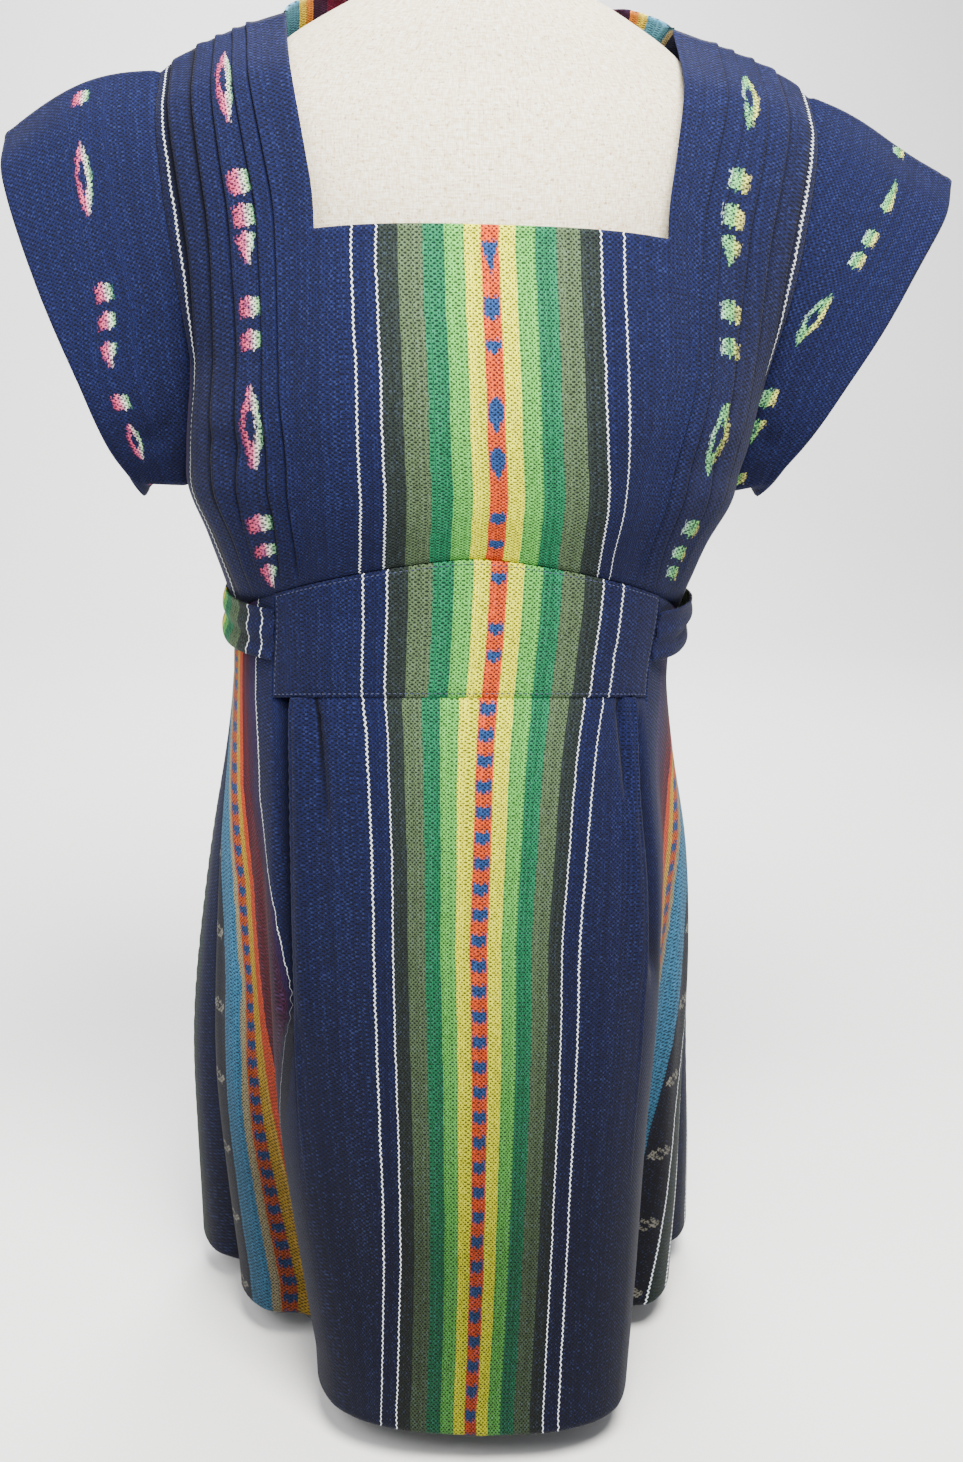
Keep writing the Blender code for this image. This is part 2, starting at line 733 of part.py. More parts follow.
def tie(side):
    """A flat sash from the band's end round to the knot."""
    first, last = TIE_ROWS[0].turn, TIE_ROWS[-1].turn
    quarters = [mix(first, last, step / TIE_STEPS) for step in range(TIE_STEPS + 1)]
    rows = [0.5, 0.0, -0.5]

    def place(turn, row):
        level = waist_outline(turn)
        ahead = waist_outline(turn + 0.01) - waist_outline(turn - 0.01)
        out = Vector((-ahead.y, ahead.x, 0.0)).normalized()
        if out.dot(level) < 0:
            out = -out
        lift = smooth(TIE_ROWS, "lift", turn) + TIE_SLACK[side] * smooth(TIE_ROWS, "slack", turn)
        taper = mix(1.0, TIE_TAPER, ease(TIE_TAPER_FROM, last, turn))
        point = level + out * lift
        point.z = TIE_Z + TIE_WIDTH * row * taper
        point.x *= side
        return settle(point)

    return grid(quarters, rows, place)


def knot():
    """The sash's soft square knot."""
    solid = bmesh.new()
    bmesh.ops.create_cube(solid, size=1.0)
    bmesh.ops.scale(
        solid,
        vec=(2 * KNOT_HALF_WIDTH, KNOT_THICK, 2 * KNOT_HALF_HEIGHT),
        verts=solid.verts[:],
    )
    bmesh.ops.bevel(
        solid,
        geom=solid.edges[:],
        offset=KNOT_ROUND,
        segments=2,
        profile=0.5,
        affect="EDGES",
        material=-1,
    )
    y = SKIRT_ROWS[0].back + CLOTH + KNOT_LIFT + KNOT_THICK / 2
    bmesh.ops.translate(solid, vec=(0.0, y, TIE_Z), verts=solid.verts[:])
    for vert in solid.verts:
        vert.co = settle(vert.co)
    return solid


def tail(side):
    """A free end of the sash, hanging from the knot down the back of the skirt."""
    steps = [step / TAIL_STEPS for step in range(TAIL_STEPS + 1)]
    rows = [0.5, 0.0, -0.5]
    top = TIE_Z - KNOT_HALF_HEIGHT - SEAM

    def place(way, row):
        z = top - TAIL_LENGTH * way
        down = (band_z(1.0) - z) / (band_z(1.0) - HEM_Z)
        behind = skirt_point(0.0, max(0.0, down), front=False).y
        spread = side * TAIL_SPREAD * mix(TAIL_TOP_SPREAD, 1.0, ease(0.0, TAIL_SPREAD_BY, way))
        width = TIE_WIDTH * mix(TAIL_TOP_WIDTH, TAIL_LOW_WIDTH, ease(0.0, TAIL_WIDE_FROM, way))
        lift = CLOTH + TAIL_LIFT + TAIL_TOP_LIFT * (1 - way)
        return settle(Vector((spread + width * row, behind + lift, z)))

    return grid(steps, rows, place)


def form_ring(turn, z):
    """A point of the dress form's surface."""
    width = smooth(FORM_ROWS, "half_width", z)
    quarter = math.pi / 2
    across = math.copysign(abs(math.sin(turn)) ** (2 / ROUND), math.sin(turn))
    out = math.copysign(abs(math.cos(turn)) ** (2 / ROUND), math.cos(turn))
    depth = smooth(FORM_ROWS, "front" if out > 0 else "back", z)
    if abs(turn % quarter) < 1e-9:
        across, out = round(math.sin(turn)), round(math.cos(turn))
    return Vector((width * across, -depth * out, z))


def torso():
    """The form's whole limbless torso."""
    top = FORM_ROWS[0].z
    low = FORM_ROWS[-1].z
    turns = [2 * math.pi * side / FORM_SIDES for side in range(FORM_SIDES + 1)]
    heights = [mix(top, low, step / FORM_STEPS) for step in range(FORM_STEPS + 1)]
    solid = grid(turns, heights, form_ring, closed=True)
    rims = [edge for edge in solid.edges if edge.is_boundary]
    bmesh.ops.holes_fill(solid, edges=rims, sides=0)
    bmesh.ops.recalc_face_normals(solid, faces=solid.faces[:])
    return solid


def disc(radius, thick, low, bevel, segments=DISC_SIDES):
    """A round plate or post with softened rims."""
    solid = bmesh.new()
    bmesh.ops.create_cone(
        solid,
        cap_ends=True,
        segments=segments,
        radius1=radius,
        radius2=radius,
        depth=thick,
    )
    if bevel:
        rims = [edge for edge in solid.edges if abs(edge.verts[0].co.z - edge.verts[1].co.z) < 1e-6]
        bmesh.ops.bevel(
            solid, geom=rims, offset=bevel, segments=2, profile=0.5, affect="EDGES", material=-1
        )
    bmesh.ops.translate(solid, vec=(0.0, 0.0, low + thick / 2), verts=solid.verts[:])
    return solid


def build():
    """Make every piece of the dress and of its form."""
    clear_scene()
    collection = bpy.data.collections.new(COLLECTION)
    bpy.context.scene.collection.children.link(collection)
    axis = Vector((0.0, 0.0, 0.0))
    panels = {
        "front_bodice": front_bodice(),
        "back_bodice": back_bodice(),
        "front_band": front_band(),
        "front_skirt": skirt(front=True),
        "back_skirt": skirt(front=False),
        "sleeve_left": sleeve(-1),
        "sleeve_right": sleeve(1),
    }
    for name, panel in panels.items():
        centre = axis
        if name.startswith("sleeve"):
            side = 1 if name.endswith("right") else -1
            centre = Vector((side * 0.19, 0.0, 0.0))
        face_outwards(panel, centre)
    make_walls(panels, {"front_band": BAND_CLOTH})
    sash = {
        "tie_left": tie(-1),
        "tie_right": tie(1),
        "tie_tail_left": tail(-1),
        "tie_tail_right": tail(1),
    }
    for name, panel in sash.items():
        face_outwards(panel, axis)
        directions = {vert: vert.normal.copy() for vert in panel.verts}
        raise_wall(panel, directions, TIE_CLOTH)
    for name, panel in {**panels, **sash}.items():
        finish(panel, name, collection, "navy")
    finish(knot(), "tie_knot", collection, "navy")
    finish(torso(), "form_torso", collection, "linen")
    low = FORM_ROWS[-1].z
    cap = disc(CAP_RADIUS, CAP_THICK, FORM_ROWS[0].z + REST_GAP, BASE_BEVEL)
    finish(cap, "form_neck_cap", collection, "cap")
    pole_low = BASE_THICK + REST_GAP
    pole = disc(POLE_RADIUS, low - REST_GAP - pole_low, pole_low, 0.0, segments=POLE_SIDES)
    finish(pole, "form_pole", collection, "steel")
    base = disc(BASE_RADIUS, BASE_THICK, 0.0, BASE_BEVEL)
    finish(base, "form_base", collection, "steel")


build()
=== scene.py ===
"""Looks of a handwoven striped dress worn by a limbless dress form.

Metres, +Z up, the front faces -Y. Each piece of cloth is a thin shell on the form of its CAD solid,
with its creases placed one by one. Finishes are node materials. Those of the cloth read the piece's
own UV: u runs across the stripes from the middle, v runs down along them, in metres of cloth.
"""

import logging
import math
from dataclasses import dataclass
from enum import Enum
from functools import partial
from typing import Callable, Optional, Sequence

import bmesh
import bpy
import numpy as np
from mathutils import Matrix, Vector


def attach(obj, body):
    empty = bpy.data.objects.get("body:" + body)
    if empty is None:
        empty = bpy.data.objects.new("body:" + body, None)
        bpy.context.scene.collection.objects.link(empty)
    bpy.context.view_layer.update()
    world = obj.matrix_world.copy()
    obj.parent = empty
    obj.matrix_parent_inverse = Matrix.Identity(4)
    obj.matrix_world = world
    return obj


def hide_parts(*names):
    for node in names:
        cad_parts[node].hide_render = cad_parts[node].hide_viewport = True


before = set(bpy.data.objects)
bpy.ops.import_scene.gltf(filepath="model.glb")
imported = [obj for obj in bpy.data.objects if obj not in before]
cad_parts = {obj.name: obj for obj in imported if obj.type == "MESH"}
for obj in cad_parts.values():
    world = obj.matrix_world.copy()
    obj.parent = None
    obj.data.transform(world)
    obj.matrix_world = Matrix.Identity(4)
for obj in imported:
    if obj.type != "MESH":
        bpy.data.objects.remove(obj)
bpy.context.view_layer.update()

LOG = logging.getLogger("handwoven_dress")


class Pair(Enum):
    """Two opposites, -1 and 1."""

    def pick(self, first: object, second: object) -> object:
        """Choose the first value for -1 and the second for 1."""
        return first if self.value < 0 else second


class Side(Pair):
    """A side of the dress, as the photo shows it."""

    LEFT = -1
    RIGHT = 1


class Half(Pair):
    """The front or the back of the dress."""

    FRONT = -1
    BACK = 1


def curve(rows: Sequence[Sequence[float]], at: np.ndarray, column: int = 1) -> np.ndarray:
    """Read a table on a smooth curve through its rows.

    Args:
        rows: Rows of a key and its values.
        at: Where to read, in the units of the key.
        column: Which value of each row is read.

    Returns:
        The value at each place.
    """
    table = np.array(sorted(tuple(row) for row in rows), dtype=float)
    keys, values = table[:, 0], table[:, column]
    place = np.clip(np.asarray(at, dtype=float), keys[0], keys[-1])
    index = np.clip(np.searchsorted(keys, place, side="left") - 1, 0, len(keys) - 2)
    low = np.maximum(np.arange(len(keys)) - 1, 0)
    high = np.minimum(np.arange(len(keys)) + 1, len(keys) - 1)
    slopes = (values[high] - values[low]) / (keys[high] - keys[low])
    span = keys[index + 1] - keys[index]
    way = (place - keys[index]) / span
    start = (2 * way**3 - 3 * way**2 + 1) * values[index]
    leave = (way**3 - 2 * way**2 + way) * span * slopes[index]
    arrive = (way**3 - way**2) * span * slopes[index + 1]
    return start + leave + arrive + (3 * way**2 - 2 * way**3) * values[index + 1]


def ease(low: float, high: float, value: np.ndarray) -> np.ndarray:
    """Step smoothly from 0 at the low place to 1 at the high one."""
    way = np.clip((np.asarray(value, dtype=float) - low) / (high - low), 0.0, 1.0)
    return way * way * (3 - 2 * way)


def mix(first: np.ndarray, second: np.ndarray, share: np.ndarray) -> np.ndarray:
    """Go a share of the way from the first value to the second."""
    return first + (second - first) * share


def dip(gap: np.ndarray, reach: float) -> np.ndarray:
    """Fall from 1 at a line to 0 a few reaches beside it."""
    return np.exp(-((gap / reach) ** 2))


def stitched(gap: np.ndarray, depth: float, place: float, reach: float) -> np.ndarray:
    """Sink along a stitched line that lies at a place beside an edge."""
    return depth * dip(gap - place, reach)


def unit(vectors: np.ndarray) -> np.ndarray:
    """Scale the vectors along the last axis to length one."""
    return vectors / np.maximum(np.linalg.norm(vectors, axis=-1, keepdims=True), 1e-9)


def spaced(low: float, high: float, count: int, ends: Sequence[float] = ()) -> list[float]:
    """Spread places evenly, with finer ones beside both ends.

    Args:
        low: The first place.
        high: The last place.
        count: How many even steps there are.
        ends: Distances of the finer places from each end.

    Returns:
        The places in rising order.
    """
    places = {round(mix(low, high, step / count), 6) for step in range(count + 1)}
    for distance in ends:
        places |= {round(low + distance, 6), round(high - distance, 6)}
    return sorted(places)


def both_sides(half: Sequence[float]) -> np.ndarray:
    """Mirror rising places that start at 0."""
    return np.array([-value for value in reversed(half[1:])] + list(half))


def distances(base: np.ndarray, axis: int) -> tuple[np.ndarray, np.ndarray]:
    """Measure how far each point is from the two ends of its row or column.

    Args:
        base: Points, rows by columns.
        axis: 0 measures down the columns, 1 along the rows.

    Returns:
        The distances from the first end and from the last end.
    """
    steps = np.linalg.norm(np.diff(base, axis=axis), axis=-1)
    zero = np.zeros_like(np.take(steps, [0], axis=axis))
    first = np.concatenate([zero, np.cumsum(steps, axis=axis)], axis=axis)
    return first, np.take(first, [-1], axis=axis) - first


@dataclass(frozen=True)
class WornShape:
    """The shape of the worn dress: the surface that the inner faces of its pieces lie on."""

    round_power: float = 2.3
    neck_point: tuple = (0.126, -0.008, 0.936)
    shoulder_point: tuple = (0.203, 0.000, 0.898)
    back_neck: tuple = (0.080, 0.956)
    neck_down: float = 0.38
    underarm_down: float = 0.71
    underarm_y: float = -0.014
    shoulder_rise: float = 0.004
    neckline_rate: float = 1.6
    shoulder_blend: tuple = (-0.05, 0.12)
    ring_blend: tuple = (0.30, 0.78)
    seam_mid_z: float = 0.605
    seam_side_z: float = 0.541
    seam_back_z: float = 0.549
    seam_curve: float = 1.3
    shoulder_curve: float = 3.0
    band_part: float = 0.58
    band_mid_z: float = 0.515
    band_end_z: float = 0.503
    hem_z: float = 0.027
    fold_ease: float = 1.05
    left_fold: float = 1.06
    hem_skew: float = -0.08
    sleeve_crown: tuple = (0.011, 0.003)
    # down, then half width and height at the edge, depth and height in front and behind
    bodice_rows: tuple = (
        (0.0, 0.203, 0.898, -0.03, 0.93, 0.085, 0.956),
        (0.12, 0.205, 0.868, -0.078, 0.902, 0.099, 0.922),
        (0.25, 0.201, 0.828, -0.104, 0.858, 0.108, 0.872),
        (0.38, 0.195, 0.776, -0.121, 0.806, 0.113, 0.81),
        (0.52, 0.188, 0.717, -0.138, 0.745, 0.114, 0.742),
        (0.66, 0.184, 0.655, -0.148, 0.687, 0.111, 0.678),
        (0.82, 0.172, 0.598, -0.144, 0.64, 0.106, 0.618),
        (1.0, 0.158, 0.541, -0.131, 0.605, 0.104, 0.549),
    )
    # down, front edge, back edge
    armhole_rows: tuple = (
        (0.0, 0.0, 0.0), (0.12, -0.024, 0.026), (0.25, -0.038, 0.046), (0.38, -0.045, 0.055),
        (0.52, -0.041, 0.048), (0.63, -0.031, 0.024), (0.71, -0.014, -0.014),
    )
    # down, half width, front depth, back depth
    skirt_rows: tuple = (
        (0.0, 0.158, 0.131, 0.104), (0.2, 0.169, 0.143, 0.12), (0.5, 0.184, 0.166, 0.139),
        (0.8, 0.189, 0.19, 0.15), (1.0, 0.188, 0.21, 0.156),
    )
    # share of the way round, across, depth
    front_hem: tuple = (
        (0.0, 0.0, -0.229), (0.28, 0.056, -0.223), (0.5, 0.095, -0.202), (0.6, 0.107, -0.168),
        (0.69, 0.094, -0.13), (0.77, 0.114, -0.098), (0.85, 0.146, -0.09), (0.93, 0.164, -0.062),
        (1.0, 0.162, -0.026),
    )
    back_hem: tuple = (
        (0.0, 0.0, 0.168), (0.12, 0.03, 0.156), (0.22, 0.056, 0.138), (0.32, 0.088, 0.148),
        (0.42, 0.118, 0.134), (0.52, 0.134, 0.102), (0.62, 0.148, 0.074), (0.72, 0.18, 0.06),
        (0.82, 0.198, 0.028), (0.92, 0.188, -0.008), (1.0, 0.162, -0.026),
    )
    # height, how far the worn dress leans across there, and how much wider it is
    lean_rows: tuple = (
        (0.72, 0.0, 0.0), (0.66, -0.004, 0.004), (0.636, -0.0055, 0.0065), (0.605, -0.0068, 0.0005),
        (0.56, -0.0063, -0.0024), (0.515, -0.0095, -0.004), (0.45, -0.008, -0.0016),
        (0.38, -0.0048, 0.0036), (0.3, -0.004, 0.004), (0.2, -0.005, 0.003), (0.1, -0.001, 0.001),
        (0.02, 0.002, 0.0),
    )
    lean_reach: tuple = (0.16, 0.195, 0.235)
    # height, and how far the left and the right armhole slip out over the shoulder
    slip_rows: tuple = (
        (0.9, 0.004, 0.021), (0.83, 0.004, 0.019), (0.76, 0.002, 0.015), (0.7, 0.0, 0.007),
        (0.655, 0.0, 0.0),
    )
    slip_reach: tuple = (0.12, 0.195, 0.215, 0.310)
    # way round from the top by the front, then the left and the right opening's place
    sleeve_rows: tuple = (
        (0.0, 0.307, 0.0, 0.856, 0.33, 0.0, 0.848),
        (0.1, 0.305, -0.03, 0.828, 0.316, -0.028, 0.82),
        (0.22, 0.286, -0.05, 0.77, 0.284, -0.046, 0.772),
        (0.36, 0.26, -0.056, 0.704, 0.248, -0.05, 0.716),
        (0.45, 0.243, -0.042, 0.66, 0.226, -0.038, 0.668),
        (0.54, 0.224, -0.006, 0.627, 0.21, -0.006, 0.632),
        (0.63, 0.24, 0.03, 0.636, 0.226, 0.03, 0.644),
        (0.75, 0.278, 0.058, 0.72, 0.262, 0.056, 0.724),
        (0.9, 0.31, 0.034, 0.824, 0.302, 0.032, 0.82),
        (1.0, 0.307, 0.0, 0.856, 0.33, 0.0, 0.848),
    )

    @property
    def neck_part(self) -> float:
        """The neck corner's share of the shoulder's half width."""
        return self.neck_point[0] / self.shoulder_point[0]

    def ring(self, part: np.ndarray) -> tuple[np.ndarray, np.ndarray]:
        """Go round a quarter of a rounded square.

        Args:
            part: Share of the quarter, negative on the left.

        Returns:
            How far across and how far out each place is, as shares.
        """
        turn = np.minimum(np.abs(part), 1.0) * math.pi / 2
        across = np.sin(turn) ** (2 / self.round_power)
        out = np.maximum(np.cos(turn), 0.0) ** (2 / self.round_power)
        return np.copysign(across, part), out

    def settle(self, points: np.ndarray) -> np.ndarray:
        """Lean and widen the dress as it hangs, all but the sleeves' ends.

        Args:
            points: Points of the even shape.

        Returns:
            Points of the shape as worn.
        """
        settled = points.copy()
        reach, near, far = self.lean_reach
        x, z = points[..., 0], points[..., 2]
        wide = curve(self.lean_rows, z, 2) * np.clip(x / reach, -1.0, 1.0)
        held = 1 - ease(near, far, np.abs(x))
        settled[..., 0] += (curve(self.lean_rows, z, 1) + wide) * held
        first, full, kept, last = self.slip_reach
        slip = np.where(x > 0, curve(self.slip_rows, z, 2), curve(self.slip_rows, z, 1))
        slip *= ease(first, full, np.abs(x)) * (1 - ease(kept, last, np.abs(x)))
        settled[..., 0] += np.copysign(slip, x)
        return settled

    def shoulder_line(self, part: np.ndarray) -> np.ndarray:
        """Follow the shoulder seam, and the back neckline inside it.

        Args:
            part: Share of the half width.

        Returns:
            The points.
        """
        share = np.abs(part)
        way = np.clip((share - self.neck_part) / (1 - self.neck_part), 0.0, 1.0)
        neck, shoulder = np.array(self.neck_point), np.array(self.shoulder_point)
        outer = neck + (shoulder - neck) * way[..., None]
        outer[..., 2] += self.shoulder_rise * np.sin(math.pi * way)
        across, out = self.ring(np.clip(share / self.neck_part, 0.0, 1.0))
        deep = mix(neck[1], self.back_neck[0], out)
        high = mix(neck[2], self.back_neck[1], np.minimum(1.0, self.neckline_rate * out))
        inner = np.stack([neck[0] * across, deep, high], axis=-1)
        points = np.where((share >= self.neck_part)[..., None], outer, inner)
        points[..., 0] = np.copysign(points[..., 0], part)
        return points

    def bodice(self, half: Half, part: np.ndarray, down: np.ndarray) -> np.ndarray:
        """Place points of the bodice.

        Args:
            half: Front or back.
            part: Share of the half width.
            down: The way from the shoulder to the waist seam.

        Returns:
            The points.
        """
        depth = curve(self.bodice_rows, down, half.pick(3, 5))
        height = curve(self.bodice_rows, down, half.pick(4, 6))
        round_across, round_out = self.ring(part)
        turn = ease(*self.ring_blend, down)
        across = mix(part, round_across, turn)
        out = mix(1 - np.abs(part) ** 3, round_out, turn)
        droop = mix(self.shoulder_curve, self.seam_curve, ease(self.neck_down, 1.0, down))
        hole = curve(self.armhole_rows, down, half.pick(1, 2))
        seam = self.underarm_y * (1 - ease(self.underarm_down, 1.0, down))
        edge = np.where(down >= self.underarm_down, seam, hole)
        x = curve(self.bodice_rows, down) * across
        y = mix(edge, depth, out)
        z = mix(height, curve(self.bodice_rows, down, 2), np.abs(part) ** droop)
        blend = ease(*self.shoulder_blend, down)[..., None]
        line = self.shoulder_line(part)
        return np.where((down <= 0)[..., None], line, mix(line, np.stack([x, y, z], axis=-1), blend))

    def waist_z(self, part: np.ndarray, half: Half) -> np.ndarray:
        """Follow the waist seam's height along shares of the way round."""
        middle = half.pick(self.seam_mid_z, self.seam_back_z)
        return mix(middle, self.seam_side_z, np.abs(part) ** self.seam_curve)

    def band_z(self, part: np.ndarray) -> np.ndarray:
        """Follow the height of the band's lower seam along shares of the way round."""
        way = np.minimum(1.0, np.abs(part) / self.band_part) ** 2
        return mix(self.band_mid_z, self.band_end_z, way)

    def skirt_ring(self, part: np.ndarray, down: np.ndarray, half: Half) -> np.ndarray:
        """Place points of the skirt's plain ring, before its folds.

        Args:
            part: Share of the way round.
            down: The way from the band's lower seam to the hem.
            half: Front or back.

        Returns:
            The points, level with the origin.
        """
        across, out = self.ring(part)
        y = half.value * curve(self.skirt_rows, down, half.pick(2, 3)) * out
        return np.stack([curve(self.skirt_rows, down, 1) * across, y, np.zeros_like(y)], axis=-1)

    def skirt(self, half: Half, part: np.ndarray, down: np.ndarray) -> np.ndarray:
        """Place points of the skirt, where negative ways down lie in the yoke.

        Args:
            half: Front or back.
            part: Share of the way round.
            down: From -1 at the waist seam over 0 at the band's lower seam to 1 at the hem.

        Returns:
            The points.
        """
        rows = half.pick(self.front_hem, self.back_hem)
        below = np.maximum(down, 0.0)
        hem_x = np.copysign(curve(rows, np.abs(part), 1), part)
        hem_y = curve(rows, np.abs(part), 2)
        hem_y = hem_y + self.hem_skew * hem_x * np.maximum(0.0, hem_y / self.front_hem[0][2])
        hem = np.stack([hem_x, hem_y, np.zeros_like(hem_x)], axis=-1)
        deep = below**self.fold_ease
        if half is Half.FRONT:
            deep = np.where(part < 0, np.minimum(1.0, deep * self.left_fold), deep)
        fold = hem - self.skirt_ring(part, np.ones_like(below), half)
        points = self.skirt_ring(part, below, half) + fold * deep[..., None]
        low = self.band_z(part if half is Half.FRONT else np.ones_like(part))
        yoke = mix(self.waist_z(part, half), low, down + 1)
        points[..., 2] = np.where(down < 0, yoke, mix(low, self.hem_z, below))
        return points

    def sleeve(self, side: Side, way: np.ndarray, out: np.ndarray) -> np.ndarray:
        """Place points of a sleeve.

        Args:
            side: Which sleeve.
            way: The way round the armhole, from the top by the front.
            out: The way from the armhole to the open end.

        Returns:
            The points.
        """
        round_by = np.where(way <= 0.5, way, 1 - way) * 2 * self.underarm_down
        edge = np.ones_like(round_by)
        front, back = (self.bodice(half, edge, round_by) for half in Half)
        start = np.where((way <= 0.5)[..., None], front, back)
        columns = side.pick((1, 2, 3), (4, 5, 6))
        end = np.stack([curve(self.sleeve_rows, way, column) for column in columns], axis=-1)
        points = mix(start, end, out[..., None])
        crown = np.maximum(0.0, np.cos(2 * math.pi * way))
        points[..., 2] += side.pick(*self.sleeve_crown) * np.sin(math.pi * out) * crown
        points[..., 0] *= side.value
        return points


@dataclass(frozen=True)
class FormShape:
    """The dress form's surface, which the cloth stays clear of."""

    round_power: float = 2.3
    # height, half width, front depth, back depth
    rows: tuple = (
        (1.02, 0.05, 0.048, 0.052), (0.975, 0.054, 0.052, 0.06), (0.955, 0.066, 0.057, 0.079),
        (0.94, 0.094, 0.064, 0.0885), (0.922, 0.124, 0.071, 0.098), (0.9, 0.148, 0.079, 0.103),
        (0.87, 0.168, 0.093, 0.107), (0.83, 0.168, 0.108, 0.108), (0.78, 0.16, 0.12, 0.107),
        (0.73, 0.154, 0.131, 0.106), (0.68, 0.151, 0.139, 0.102), (0.63, 0.143, 0.133, 0.096),
        (0.58, 0.132, 0.117, 0.091), (0.515, 0.119, 0.101, 0.086), (0.45, 0.132, 0.106, 0.097),
        (0.38, 0.15, 0.115, 0.112), (0.31, 0.158, 0.119, 0.121), (0.25, 0.153, 0.114, 0.118),
    )

    def push_out(self, points: np.ndarray, clearance: float) -> np.ndarray:
        """Move points that lie in the form, or too close to it, level outwards.

        Args:
            points: Points of the cloth.
            clearance: How far they must stay from the form.

        Returns:
            The points, moved where they had to be.
        """
        x, y, z = points[..., 0], points[..., 1], points[..., 2]
        width = curve(self.rows, z, 1)
        depth = np.where(y < 0, curve(self.rows, z, 2), curve(self.rows, z, 3))
        power = self.round_power
        level = (np.abs(x) / width) ** power + (np.abs(y) / depth) ** power
        reach = np.maximum(np.hypot(x, y), 0.001)
        wanted = np.maximum(level, 1e-9) ** (-1 / power) * (1 + clearance / reach)
        inside = (z > self.rows[-1][0]) & (z < self.rows[0][0]) & (wanted > 1)
        moved = points.copy()
        moved[..., :2] *= np.where(inside, wanted, 1.0)[..., None]
        return moved


WORN = WornShape()
FORM = FormShape()
# the plain thickness of a piece of cloth
CLOTH = 0.0018
# how deep a face sinks at a folded edge, and how far from it
EDGE_DEPTH = 0.0009
EDGE_REACH = 0.0012


def make_piece(
    name: str,
    solid: bmesh.types.BMesh,
    material: bpy.types.Material,
    slot: str = "",
    node: str = "",
) -> bpy.types.Object:
    """Turn a bmesh into a smooth object.

    Args:
        name: The object's name.
        solid: The bmesh, freed afterwards.
        material: Its finish.
        slot: The material slot of a piece that rides on the part; when one is given, the piece is
            attached to the root body.
        node: The CAD node that it stands for.

    Returns:
        The object.
    """
    mesh = bpy.data.meshes.new(name)
    solid.to_mesh(mesh)
    solid.free()
    mesh.shade_smooth()
    mesh.materials.append(material)
    thing = bpy.data.objects.new(name, mesh)
    bpy.context.scene.collection.objects.link(thing)
    if slot:
        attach(thing, "root")
    if node:
        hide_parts(node)
    LOG.info("%s: %d faces", name, len(mesh.polygons))
    return thing


